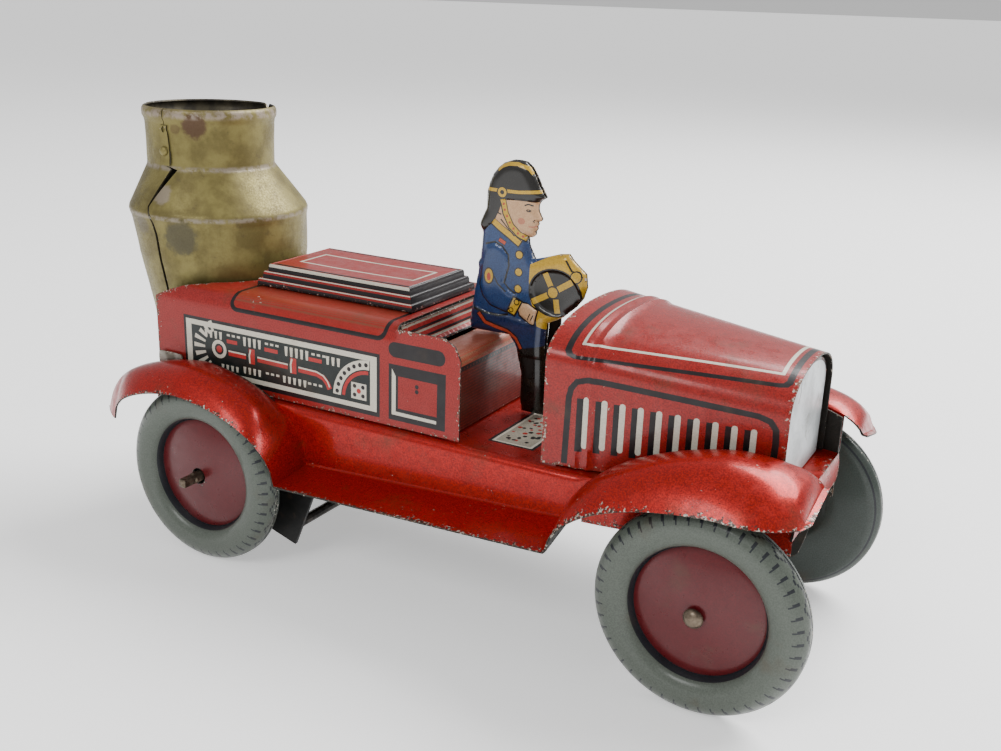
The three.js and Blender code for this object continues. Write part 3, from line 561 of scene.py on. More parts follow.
for x, z0, z1, count in ((-6.3, 50.7, 52.5, 4), (5.2, 50.4, 52.5, 4), (17.2, 50.2, 52.4, 5),
                         (28.7, 50.3, 52.2, 3),
                         (-1.6, 43.6, 44.9, 4), (5.0, 43.8, 45.4, 4), (16.5, 43.8, 45.4, 5)):
    shell_prints.append((on_sides(ticks(x, z0, z1, count)), WHITE))
for x, z, count in ((0.4, 51.9, 3), (11.6, 51.8, 3), (24.7, 51.7, 3), (11.6, 44.8, 3), (23.6, 44.7, 3)):
    shell_prints.append((on_sides([rectangle(x + k * 1.5, x + k * 1.5 + 0.9, z, z + 0.5)
                                   for k in range(count)]), WHITE))
for x, length in ((0.3, 3.1), (11.4, 3.8), (23.9, 3.6)):
    shell_prints.append((on_sides([rectangle(x, x + length, 50.2, 51.1)]), PIPE))
for path in ([(0.7, 47.9), (5.9, 47.9)], [(9.3, 47.9), (18.0, 47.8)],
             [(21.0, 47.7), (26.0, 47.6), (27.9, 47.0), (29.0, 45.9), (29.6, 44.7)]):
    shell_prints.append((on_sides([stroke(path, 1.3)]), PIPE))
    shell_prints.append((on_sides([stroke([(x, z + 0.45) for x, z in path], 0.35)]), WHITE))
for x in (6.8, 18.7):
    shell_prints.append((on_sides([rectangle(x, x + 1.7, 46.4, 50.0)]), PIPE))
    shell_prints.append((on_sides([stroke([(x + 0.2, 46.5), (x + 0.1, 48.4), (x + 0.5, 49.8)], 0.45)]),
                         WHITE))
arch_x, arch_z = 39.9, 43.7
shell_prints += [
    (on_sides([arc(arch_x, arch_z, 9.4, 88, 178) + arc(arch_x, arch_z, 7.3, 88, 178)[::-1]]), WHITE),
    (on_sides([arc(arch_x, arch_z, 7.0, 90, 176) + arc(arch_x, arch_z, 6.2, 90, 176)[::-1]]), PIPE),
    (on_sides([disc(*arc(arch_x, arch_z, 8.35, 94 + 11.2 * k, 0, 1)[0], 0.52, 8) for k in range(8)]),
     BLACK),
    (on_sides([rectangle(35.4, 39.4, 43.9, 47.6)]), WHITE),
    (on_sides([disc(x, z, 0.5, 8) for x in (36.3, 38.5) for z in (44.8, 46.8)]), BLACK),
    (on_sides([disc(37.4, 45.8, 0.6, 8)]), PIPE),
    (on_sides([rounded(45.1, 59.2, 55.15, 58.5, 1.65)]), BLACK),
    (on_sides([rectangle(45.2, 59.4, 41.1, 53.6)]), BLACK),
    (on_sides([rectangle(47.6, 57.3, 43.9, 51.1)]), BODY),
    (on_sides([[(46.0, 42.3), (57.2, 42.3), (57.2, 43.0), (47.0, 43.1), (47.0, 51.0), (46.0, 52.6)]]),
     WHITE),
    (on_sides([disc(52.3, 49.6, 0.5, 8), disc(52.3, 48.5, 0.5, 8)]), BLACK),
]
shell = printed("body_sheet", [shell_outline], shell_place, shell_prints, shell_inks, tin_wall, (1.4, 1.1))
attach(shell, "root")
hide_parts("body_shell")


def metal(name, colour, deep, rough=0.35, shine=0.9, wear=0.3, patch=4.0, stain="3a2c22", bright="c9c4b8"):
    """Bare or lacquered metal: clouded tone, dull stains and rubbed bright edges."""
    made = bpy.data.materials.new(name)
    made.use_nodes = True
    tree = made.node_tree
    shader = tree.nodes["Principled BSDF"]
    at = node(tree, "TexCoord").outputs["Object"]
    edge = node(tree, "Attribute", attribute_name="edge").outputs["Fac"]
    slow = cloud(tree, at, patch, 3.0, 0.6)
    fine = cloud(tree, at, 0.4, 3.0)
    tone = blend(tree, ramp(tree, slow, 0.35, 0.65), paint(colour), paint(deep))
    tone = blend(tree, ramp(tree, cloud(tree, at, patch * 0.7, 5.0, 0.65), 0.58, 0.72, 0.0, 0.7), tone,
                 paint(stain))
    rub = math_node(tree, "ADD", math_node(tree, "MULTIPLY", edge, 0.3), cloud(tree, at, 0.8, 4.0, 0.6))
    worn = ramp(tree, rub, 0.98 - wear * 0.4, 1.04 - wear * 0.4)
    tree.links.new(blend(tree, worn, tone, paint(bright)), shader.inputs["Base Color"])
    tree.links.new(ramp(tree, fine, 0.3, 0.7, rough - 0.08, rough + 0.14), shader.inputs["Roughness"])
    shader.inputs["Metallic"].default_value = shine
    height = math_node(tree, "ADD", slow, math_node(tree, "MULTIPLY", fine, 0.08))
    bump = node(tree, "Bump", {"Height": height, "Strength": 0.25, "Distance": 0.3 * mm})
    tree.links.new(bump.outputs["Normal"], shader.inputs["Normal"])
    return made


dull_tin = metal("dull_tin", "a8a59c", "6f6a60", rough=0.4, wear=0.35)
for hand, name in ((-1, "right_boiler_clip"), (1, "left_boiler_clip")):
    low, high = corners(name)
    middle_x, middle_z = (low.x + high.x) / 2, (low.z + high.z) / 2
    half_x, half_z = (high.x - low.x) / 2, (high.z - low.z) / 2
    face = high.y - 0.1 if hand > 0 else low.y + 0.1
    rows = [[(middle_x + half_x * (u - 0.06 * u * w * w), hand * (abs(face) - 0.25 * (1 - abs(u) ** 3)),
              middle_z + half_z * w) for w in steps(-1, 1, 0.25)] for u in steps(-1, 1, 0.125)]
    wing_clip = gridded(name + "_tin", rows, [dull_tin, dull_tin], 0.3, flip=hand < 0)
    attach(wing_clip, "root")
    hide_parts(name)

# ------------------------------------------------------------------- hose lid
# A separate stepped pressing: three ridges round a flat panel with a white border line, painted white
# highlights along the top of each ridge, black bands in the grooves and a plain dark front slope.

lid_low, lid_high = corners("hose_lid")
ridges, ridge_in = 3, 0.9
ridge_rise = (lid_high.z - lid_low.z) / ridges
ridge_path = [(0, 0), (0.04, 0.55), (0.16, 0.85), (0.34, 0.97), (0.55, 1.0), (0.8, 0.9)]
terrace = [(k * ridge_in + across, (k + up) * ridge_rise) for k in range(ridges) for across,
           up in ridge_path]
terrace.append((ridges * ridge_in + 0.1, ridges * ridge_rise))


def terrace_height(inset):
    for (a, low), (b, high) in zip(terrace, terrace[1:]):
        if inset <= b:
            return lerp(low, high, clamp((inset - a) / (b - a)))
    return terrace[-1][1]


insets = [inset for inset, _ in terrace]
lid_xs = [lid_low.x + inset for inset in insets] + [lid_high.x - inset for inset in insets]
lid_xs += steps(5, 42, 1.4) + [7.2, 7.8, 38.7, 39.3]
lid_ys = [side * (lid_high.y - inset) for inset in insets for side in (-1, 1)]
lid_ys += steps(-10, 10, 1.4) + [-5.1, -4.5, 4.5, 5.1]
lid_xs, lid_ys = sorted(set(lid_xs)), sorted(set(lid_ys))
LID_RED, LID_BLACK, LID_WHITE = range(3)


def lid_ink_and_painted_highlight(i, j):
    x, y = (lid_xs[i] + lid_xs[i + 1]) / 2, (lid_ys[j] + lid_ys[j + 1]) / 2
    ends, flank = min(x - lid_low.x, lid_high.x - x), lid_high.y - abs(y)
    inset = min(ends, flank)
    if inset < ridges * ridge_in:
        if inset > lid_high.x - x - 0.01:
            return LID_BLACK
        part = inset % ridge_in
        # Painted highlight: the white band on the upper round of each ridge stands in for its shine. The
        # grooves between the ridges are coloured black.
        return LID_WHITE if 0.1 < part < 0.36 else LID_BLACK if part > 0.7 or part < 0.04 else LID_RED
    if inset < ridges * ridge_in + 0.5:
        return LID_BLACK
    frame_line = (abs(x - 7.5) < 0.3 or abs(x - 39) < 0.3) and abs(y) < 5.1
    frame_line = frame_line or (abs(abs(y) - 4.8) < 0.3 and 7.2 < x < 39.3)
    return LID_WHITE if frame_line else LID_RED


lid_rows = []
for x in lid_xs:
    ends = min(x - lid_low.x, lid_high.x - x)
    sag = 0.25 * math.sin(clamp((x - lid_low.x) / 43) * math.pi)
    lid_rows.append([(x, y, lid_low.z + terrace_height(min(ends, lid_high.y - abs(y)))
                      - sag * clamp((lid_high.y - abs(y)) / 9)) for y in lid_ys])
lid_red = enamel("lid_red", "9c2420", "781612", gloss=0.28, wear=0.34, coat=0.2, grain=0.4)
lid = gridded("hose_lid_pressing", lid_rows, [lid_red, black_ink, white_ink_and_painted_highlight, dark_back], tin_wall, lid_ink_and_painted_highlight)
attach(lid, "root")
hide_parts("hose_lid")

# ----------------------------------------------------------------------- seat
# A box folded from one strip, its cushion printed in tan and red with a dashed
# front edge, and a back rest printed as rolled padding in bands.

seat_half = shell_half - 0.9


def bent_along(path):
    """A place function for a strip bent along a path of x and z, across the body."""
    reached = [0.0]
    for a, b in zip(path, path[1:]):
        reached.append(reached[-1] + math.dist(a, b))

    def place(u, v):
        for k, (a, b) in enumerate(zip(path, path[1:])):
            if u <= reached[k + 1] or k == len(path) - 2:
                share = (u - reached[k]) / (reached[k + 1] - reached[k])
                return (lerp(a[0], b[0], share), v, lerp(a[1], b[1], share))
    return place, reached[-1]


seat_front, seat_top, seat_nose = 59.8, 56.6, 2.6
seat_path = [(seat_front, shell_bottom + 0.1)] + arc(seat_front - seat_nose, seat_top - seat_nose,
                                                     seat_nose, 0, 90, 8)
seat_path.append((51.2, seat_top - 0.6))
seat_place, seat_length = bent_along(seat_path)
cushion_from = seat_top - seat_nose - shell_bottom - 0.3
seat_prints = [([rectangle(cushion_from, seat_length, -seat_half, seat_half)], 1),
               ([rectangle(cushion_from - 0.9, cushion_from + 0.15, -seat_half, seat_half)], 2)]
seat_prints += [([rectangle(cushion_from - 0.65, cushion_from - 0.2, y, y + 0.5)], 0)
                for y in steps(-seat_half + 0.5, seat_half - 1, 1.3)]
seat_brown = enamel("seat_brown", "7c2c20", "5a1e18", gloss=0.32, wear=0.2, dots="3c1a14", dot_size=0.7,
                    grain=0.6)
cushion_tan = enamel("cushion_tan", "94664c", "744834", gloss=0.34, wear=0.34, dots="9c3a2c", dot_size=0.6,
                     grain=0.5)
seat = printed("seat_box_sheet", [rectangle(0, seat_length, -seat_half, seat_half)], seat_place,
               seat_prints,
               [seat_brown, cushion_tan, black_ink, dark_back], tin_wall, (0.7, 1.6), flip=True)
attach(seat, "root")
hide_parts("seat_box")

back_path = [(50.3, seat_top - 0.1), (49.5, seat_top + 0.6), (48.7, seat_top + 1.8), (48.2, seat_top + 3.4),
             (47.9, seat_top + 4.6), (47.8, shell_top - 0.2)]
back_place, back_length = bent_along(back_path)


def padded_back(u, v):
    """The back rest with its bands pressed in low relief."""
    x, y, z = back_place(u, v)
    return (x + 0.12 * math.sin(u / back_length * 3 * 2 * math.pi), y * 0.999, z)


back_prints = []
for k in range(3):
    low = back_length * k / 3
    for ink, start, end in ((1, 0.0, 0.28), (2, 0.66, 0.92)):
        back_prints.append(([rectangle(low + start * back_length / 3, low + end * back_length / 3,
                                       -seat_half, seat_half)], ink))
seat_back = printed("seat_back_sheet", [rectangle(0, back_length, -seat_half, seat_half)], padded_back,
                    back_prints,
                    [body_red, black_ink, mat_grey, dark_back], tin_wall, (0.3, 1.8), flip=True)
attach(seat_back, "root")
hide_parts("seat_back")

# ----------------------------------------------------------------------- hood
# The hood is one sheet over the motor bay: flat sides with ten printed louvres,
# a crowned roof with a black and a white line, and two pressed ribs at its rear.

hood_rear, hood_front = 82.0, 128.6
roof_flat, roundness = 24.0, 2 / 2.25


def hood_size(x):
    """Half width, crown height and the height where the roof starts, at a station."""
    share = (x - hood_rear) / (hood_front - hood_rear)
    top = lerp(68.9, 63.9, share)
    return lerp(23.4, 15.8, share), top, top - lerp(8.2, 8.6, share)


def hood_place(x, v, inset=0.0):
    """The hood sheet from its crown over the shoulder and down the side."""
    hand, flat = math.copysign(1, v), abs(v)
    half, top, base = hood_size(x)
    rib = sum(0.5 * math.exp(-((x - station) / 0.75) ** 2) for station in (89.0, 91.5)) - inset
    turn = (1 - min(flat, roof_flat) / roof_flat) * math.pi / 2
    out, up = math.cos(turn) ** roundness, math.sin(turn) ** roundness
    z = base + (top - base + rib) * up - max(flat - roof_flat, 0)
    return (x, hand * (half + rib) * out, z)


def on_hood(loops):
    """Outlines drawn on the hood side in x and z, laid on both sides of its flat sheet."""
    return [[(x, hand * (roof_flat + hood_size(x)[2] - z)) for x, z in loop] for hand in (-1, 1)
            for loop in loops]


def roof_frame(x0, x1, half0, half1, width, corner):
    """A line of this width round a tapering panel on the roof, as two loops."""
    loops = []
    for inset in (0, width):
        a, b = x0 + inset, x1 - inset
        ha, hb = half0 - inset, half1 - inset
        cut = corner - inset * 0.5
        side = [(a, ha - cut), (a + cut * 0.3, ha - cut * 0.3), (a + cut, ha), (b - cut, hb),
                (b - cut * 0.3, hb - cut * 0.3),
                (b, hb - cut)]
        loops.append([(x, -v) for x, v in side] + side[::-1])
    return loops


hood_outline = [(hood_rear, -roof_flat - hood_size(hood_rear)[2] + shell_bottom),
                (hood_front, -roof_flat - hood_size(hood_front)[2] + shell_bottom),
                (hood_front, roof_flat + hood_size(hood_front)[2] - shell_bottom),
                (hood_rear, roof_flat + hood_size(hood_rear)[2] - shell_bottom)]
side_line = [(86.7, 40.2), (87.0, 54.0), (87.4, 56.0), (88.6, 57.6), (91.0, 58.2), (122.8, 55.9),
             (125.2, 55.1),
             (126.3, 53.6), (126.5, 51.0), (126.2, 42.5)]
HOOD_BLACK, HOOD_WHITE = 1, 2
hood_prints = [(roof_frame(85.3, 127.4, 21.2, 14.4, 1.25, 2.0), HOOD_BLACK),
               (roof_frame(88.0, 125.4, 16.4, 10.2, 0.75, 0.3), HOOD_WHITE),
               (on_hood([stroke(side_line, 1.25)]), HOOD_BLACK)]
for k in range(10):
    x, low, high = 89.2 + 3.54 * k, 43.9 + 0.12 * k, 54.6 - 0.16 * k
    hood_prints.append((on_hood([rectangle(x - 0.35, x + 1.0, low - 0.7, high - 0.3)]), HOOD_BLACK))
    hood_prints.append((on_hood([rounded(x + 0.8, x + 1.95, low, high, 0.5, 2)]), HOOD_WHITE))
hood_red = enamel("hood_red", "9c1e18", "74120e", gloss=0.25, wear=0.37, coat=0.25, grain=0.5,
                  chip="6a4232")
hood = printed("hood_sheet", [hood_outline], hood_place, hood_prints, [hood_red, black_ink, white_ink_and_painted_highlight,
                                                                       dark_back],
               tin_wall, (0.8, 1.0))
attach(hood, "root")
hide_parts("hood")


def plate_outline(x, inset):
    """The hood's section at a station, drawn in by inset, as y and z."""
    points = []
    for v in steps(-roof_flat, roof_flat, 1.6):
        _, y, z = hood_place(x, v, inset)
        points.append((y, z))
    return [(points[0][0], shell_bottom + 0.1), *points, (points[-1][0], shell_bottom + 0.1)][::-1]


radiator_x = corners("radiator")[1].x
radiator_edge = plate_outline(radiator_x, 1.2)
radiator_field = plate_outline(radiator_x, 1.9)
scratch = stroke([(-6.5, 56.2), (-5.6, 58.0), (-5.9, 60.4)], 0.35)
silver = metal("silver_plate", "c9cdcf", "a9adae", rough=0.42, shine=0.55, wear=0.2, patch=9.0,
               stain="7d7a74",
               bright="e6e6e2")
radiator = printed("radiator_plate", [radiator_edge], lambda y, z: (radiator_x - 0.02, y, z),
                   [([radiator_edge, radiator_field], 1), ([scratch], 1)], [silver, black_ink, dark_back],
                   tin_wall, (1.8, 1.8))
tab = gridded("radiator_tab", [[(radiator_x - 0.1 + 0.6 * s * s, y, lerp(apron_bottom + 8.2,
                                                                         apron_bottom + 6.9, s))
                                for y in (-14.2, -13.0, -11.8)] for s in steps(0, 1, 0.25)],
              [dull_tin, dark_back], 0.3)
radiator = joined("radiator_sheet", [radiator, tab])
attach(radiator, "root")
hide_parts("radiator")

dash_x = corners("dashboard")[0].x
dash_edge = plate_outline(dash_x + 0.7, 1.6)
dash_prints = [([rectangle(y, y + 0.8, shell_bottom, 70)], 1 if k % 2 else 2)
               for k, y in enumerate(steps(-20, 19.2, 2.2))]
dash_prints.append(([rectangle(-23, 23, shell_bottom, 44)], 3))
dash_tan = enamel("dash_tan", "a8906a", "8c7450", gloss=0.36, wear=0.3)
dash_yellow = enamel("dash_yellow", "b88a34", "9a7028", gloss=0.36, wear=0.3)
dashboard = printed("dashboard_plate", [dash_edge], lambda y, z: (dash_x + 0.02, y, z), dash_prints,
                    [dash_tan, red_ink, dash_yellow, seat_brown, dark_back], tin_wall, (2.0, 2.0),
                    flip=True)
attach(dashboard, "root")
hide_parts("dashboard")

# --------------------------------------------------------------------- boiler
# Brass-lacquered tin rolled from one sheet: a waisted barrel, a conical
# shoulder and a neck with a beaded rim, its seam sprung open above a narrow
# slit and held at the neck by a riveted tongue.

boiler_foot, boiler_shoulder, neck_base = 33.6, 76.5, 87.0
neck_shift, belly = -2.0, 1.5
boiler_profile = [(33.6, 15.2), (50.5, 17.75), (66.0, 20.45), (73.5, 21.1), (74.7, 21.2), (75.8, 21.5),
                  (76.5, 21.6),
                  (77.3, 21.35), (78.4, 20.65), (86.2, 15.75), (86.8, 15.4), (87.6, 15.28), (97.0, 15.4),
                  (97.8, 15.55), (98.5, 15.92), (99.3, 15.98), (100.1, 15.9), (100.6, 15.6), (100.75, 15.3)]
seam_left = [(33.6, -0.45), (60, -0.5), (72, -1.3), (76.4, -2.6), (78.5, -3.7), (86.9, -0.7), (87.3, -2.1),
             (101, -2.1)]
seam_right = [(33.6, 0.35), (60, 0.3), (72, -0.5), (76.4, -1.9), (78.5, -2.9), (86.9, 1.3), (87.3, -1.9),
              (101, -1.9)]


def along(table, at):
    """A value read off a table of rising places."""
    for (a, low), (b, high) in zip(table, table[1:]):
        if at <= b:
            return lerp(low, high, clamp((at - a) / (b - a)))
    return table[-1][1]


def boiler_bow(z):
    if z > boiler_shoulder:
        return neck_shift * min((z - boiler_shoulder) / (neck_base - boiler_shoulder), 1)
    return belly * math.sin(math.pi * (boiler_shoulder - z) / (boiler_shoulder - boiler_foot))


levels = sorted({round(z, 2) for z, _ in boiler_profile} | {round(z, 2) for z in steps(33.6, 97, 1.3)})
around = 168
boiler_rows = []
for z in levels:
    radius, bow = along(boiler_profile, z), boiler_bow(z)
    start = -math.pi / 2 + math.asin((along(seam_right, z) - bow) / radius)
    end = 3 * math.pi / 2 + math.asin((along(seam_left, z) - bow) / radius)
    row = []
    for k in range(around + 1):
        a = lerp(start, end, k / around)
        dent = 0.22 * clamp(noise.noise(Vector((3 * math.cos(a), 3 * math.sin(a), z / 9))) + 0.25)
        torn = 1.6 * math.exp(-((a - 1.12) / 0.05) ** 2) * smooth(z, 97, 100.8)
        spread = 1 + 0.02 * math.exp(-((z - 82) / 5) ** 2) * math.exp(-((a - start) / 0.4) ** 2)
        r = (radius - dent) * min(spread, 21.6 / radius)
        row.append((boiler_station + bow + r * math.cos(a), r * math.sin(a), z - torn))
    boiler_rows.append(row)


def patina(name, spots):
    """Brass lacquer gone olive, with dark round stains at given places and worn grey folds."""
    made = metal(name, "7c7240", "62582e", rough=0.46, shine=0.5, wear=0.16, patch=6.0, stain="544a2c",
                 bright="a09484")
    tree = made.node_tree
    shader = tree.nodes["Principled BSDF"]
    at = node(tree, "TexCoord").outputs["Object"]
    tone = shader.inputs["Base Color"].links[0].from_socket
    ragged = cloud(tree, at, 2.2, 5.0, 0.7)
    for place, radius, colour, strength in spots:
        away = node(tree, "VectorMath", {0: at, 1: (Vector(place) + foot) * mm},
                    operation="DISTANCE").outputs["Value"]
        away = math_node(tree, "ADD", away, math_node(tree, "MULTIPLY", ragged, radius * 0.8 * mm))
        tone = blend(tree, ramp(tree, away, radius * mm, radius * 1.35 * mm, strength, 0.0), tone,
                     paint(colour))
    height = node(tree, "SeparateXYZ", {"Vector": at}).outputs["Z"]
    for level, reach_mm, colour in ((99.6, 1.5, "97897c"), (87.0, 0.9, "8a7f70"), (76.3, 0.8, "8c8272"),
                                    (37.0, 5.0, "6c6438")):
        away = math_node(tree, "ABSOLUTE", math_node(tree, "SUBTRACT", height, level * mm))
        share = math_node(tree, "MULTIPLY", ramp(tree, away, 0.2 * reach_mm * mm, reach_mm * mm, 0.9, 0.0),
                          ramp(tree, ragged, 0.36, 0.6))
        tone = blend(tree, share, tone, paint(colour))
    tree.links.new(tone, shader.inputs["Base Color"])
    return made


brass = patina("brass_patina", [((-15.5, -20.0, 72.0), 5.2, "4a4634", 0.85),
                                ((-16.0, -13.5, 97.0), 3.6, "4c3424", 0.9),
                                ((-20.5, -14.9, 96.2), 1.6, "4c3424", 0.5),
                                ((-21.5, -20.2, 82.0), 3.4, "8c8070", 0.8),
                                ((-27.5, -20.5, 74.0), 3.2, "5c5444", 0.7),
                                ((-10.0, 17.0, 80.0), 4.5, "4c3c28", 0.7),
                                ((-30.0, 12.0, 93.0), 3.4, "4c3424", 0.6),
                                ((-38.0, 6.0, 66.0), 5.0, "54482c", 0.6)])
boiler_inside = metal("boiler_inside", "4c4636", "2e2a22", rough=0.5, shine=0.5, wear=0.1)
boiler = gridded("boiler_sheet", boiler_rows, [brass, boiler_inside], tin_wall, flip=True)
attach(boiler, "root")
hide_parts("boiler")

strap_x = boiler_station + neck_shift
strap_low, strap_high = 87.7, 96.9


def on_neck(u, z):
    """A point of the seam tongue, bent round the neck and lifting at its foot."""
    lift = 0.32 + 0.25 * smooth(89.5 - z, 0, 1.8)
    return (strap_x + u, -math.sqrt((15.35 + lift) ** 2 - u * u), z)


tongue = [(-1.5, strap_low), (1.5, strap_low), (1.35, 92.5), (1.1, 95.2), (0.75, 96.2), (0.95, strap_high),
          (-1.2, strap_high), (-1.1, 95.6), (-1.45, 92.5)]
keyhole = [(x, z) for x, z in disc(-0.1, 96.0, 0.5, 10, 1.5)]
strap = printed("seam_tongue", [tongue, keyhole], on_neck, [], [brass, boiler_inside], 0.3, (0.35, 0.5))


def dome(name, x, y, z, radius, height, hand, inks, parts=28):
    """A round head standing out along y on the given hand."""
    rows = [[(x + radius * math.sin(turn) * math.cos(a), y + hand * height * math.cos(turn),
              z + radius * math.sin(turn) * math.sin(a)) for a in steps(0, 2 * math.pi,
                                                                        2 * math.pi / parts)[:-1]]
            for turn in [0.02] + steps(0.2, math.pi / 2, 0.2)]
    return gridded(name, rows, inks, height * 0.6, closed=True, flip=hand > 0)


rivet = dome("seam_rivet", strap_x - 0.1, -15.75, 91.0, 1.15, 0.75, -1, [brass, boiler_inside])
strap = joined("seam_strap_and_rivet", [strap, rivet])
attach(strap, "root")
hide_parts("boiler_seam_strap")

# --------------------------------------------------------------------- driver
# Two pressed halves meet on the centre line: a seated figure in a blue tunic and
# a crested black helmet, holding a yellow steering wheel with black between its
# spokes. The face is plain and calm.

seam_y = 0.8
figure = [(53.0, 80.9), (54.4, 84.5), (54.5, 88.2), (55.0, 90.0), (55.9, 92.0), (57.0, 93.4), (58.4, 94.5),
          (60.6, 95.25),
          (62.2, 95.28), (63.6, 95.1), (65.0, 94.0), (66.2, 92.2), (67.2, 90.2), (68.6, 88.0), (67.4, 87.2),
          (66.9, 86.3),
          (66.9, 85.2), (67.4, 84.2), (67.9, 83.4), (67.6, 82.9), (66.9, 82.8), (67.1, 82.2), (66.8, 81.8),
          (66.9, 81.2),
          (66.5, 80.6), (66.5, 79.9), (65.8, 79.3), (64.8, 79.2), (65.2, 77.2), (66.6, 74.7), (69.7, 75.6),
          (72.4, 76.5),
          (74.6, 76.8), (75.6, 75.6), (76.4, 74.9), (78.8, 73.0), (79.2, 70.2), (78.4, 67.6), (77.0, 65.7),
          (73.8, 62.8),
          (70.3, 61.0), (70.0, 55.9), (70.4, 45.7), (70.4, 39.8), (64.9, 39.8), (64.4, 42.8), (64.4, 48.7),
          (62.8, 55.0),
          (61.2, 57.0), (57.3, 56.95), (51.5, 56.95), (51.0, 58.8), (51.9, 65.1), (52.6, 69.3),
          (52.9, 71.0), (52.6, 72.2),
          (53.3, 73.4), (53.4, 75.0), (53.7, 79.0)]
helmet = [(54.6, 84.1), (55.2, 87.6), (56.3, 91.6), (57.9, 93.8), (60, 96), (65, 95), (67, 92.7),
          (69, 88.4), (68.8, 87.2),
          (66.5, 86.9), (64.0, 87.0), (60.8, 86.9), (58.9, 86.7), (58.2, 84.5), (57.0, 82.0), (54.5, 79.6),
          (51, 80)]
arm = [(55.6, 76.5), (57.3, 77.2), (59.1, 76.6), (60.5, 75.2), (60.9, 73.2), (60.4, 70.6), (59.8, 68.6),
       (61.2, 67.2),
       (63.0, 66.4), (62.3, 64.4), (61.0, 62.6), (58.6, 62.7), (56.2, 63.8), (54.6, 65.4), (53.9, 67.8),
       (54.2, 71.2),
       (54.8, 74.4)]
wheel_disc = disc(72.2, 68.2, 5.9, 30, 0.86)
hand_shape = [(64.5, 64.9), (66.0, 64.9), (68.3, 63.7), (67.9, 62.4), (67.6, 60.6), (66.6, 60.7),
              (65.4, 61.4), (64.1, 62.2),
              (63.7, 63.4)]
legs = [(52.4, 62.8), (51.0, 58.0), (50, 56), (61.5, 56), (63.4, 54.3), (64.3, 52.7), (71, 52.7),
        (71, 60.9), (68.6, 61.4),
        (66.1, 60.9), (61.5, 61.6), (56.5, 61.5)]


def rounding(shape, spots, width):
    """0 at an outline and outside it, rising in a quarter round to 1 within width."""
    away = np.full(len(spots), width)
    for a, b in zip(shape, shape[1:] + shape[:1]):
        start, way = np.array(a), np.array(b) - np.array(a)
        share = np.clip((spots - start) @ way / (way @ way), 0, 1)
        away = np.minimum(away, np.linalg.norm(start + share[:, None] * way - spots, axis=1))
    return np.sqrt(1 - (1 - away / width) ** 2) * covers([shape], spots)


def driver_place(hand):
    """One half of the figure, its relief pressed out on the given hand."""
    def place(x, z):
        spots = np.stack([x, z], axis=1)
        depth = 0.25
        for shape, height, width in ((figure, 1.35, 2.2), (arm, 0.4, 1.3), (helmet, 0.35, 1.8),
                                     (legs, 0.3, 1.8),
                                     (wheel_disc, -0.45, 0.8), (hand_shape, 0.3, 0.8)):
            depth = depth + height * rounding(shape, spots, width)
        return (x, seam_y + hand * depth, z)
    return place


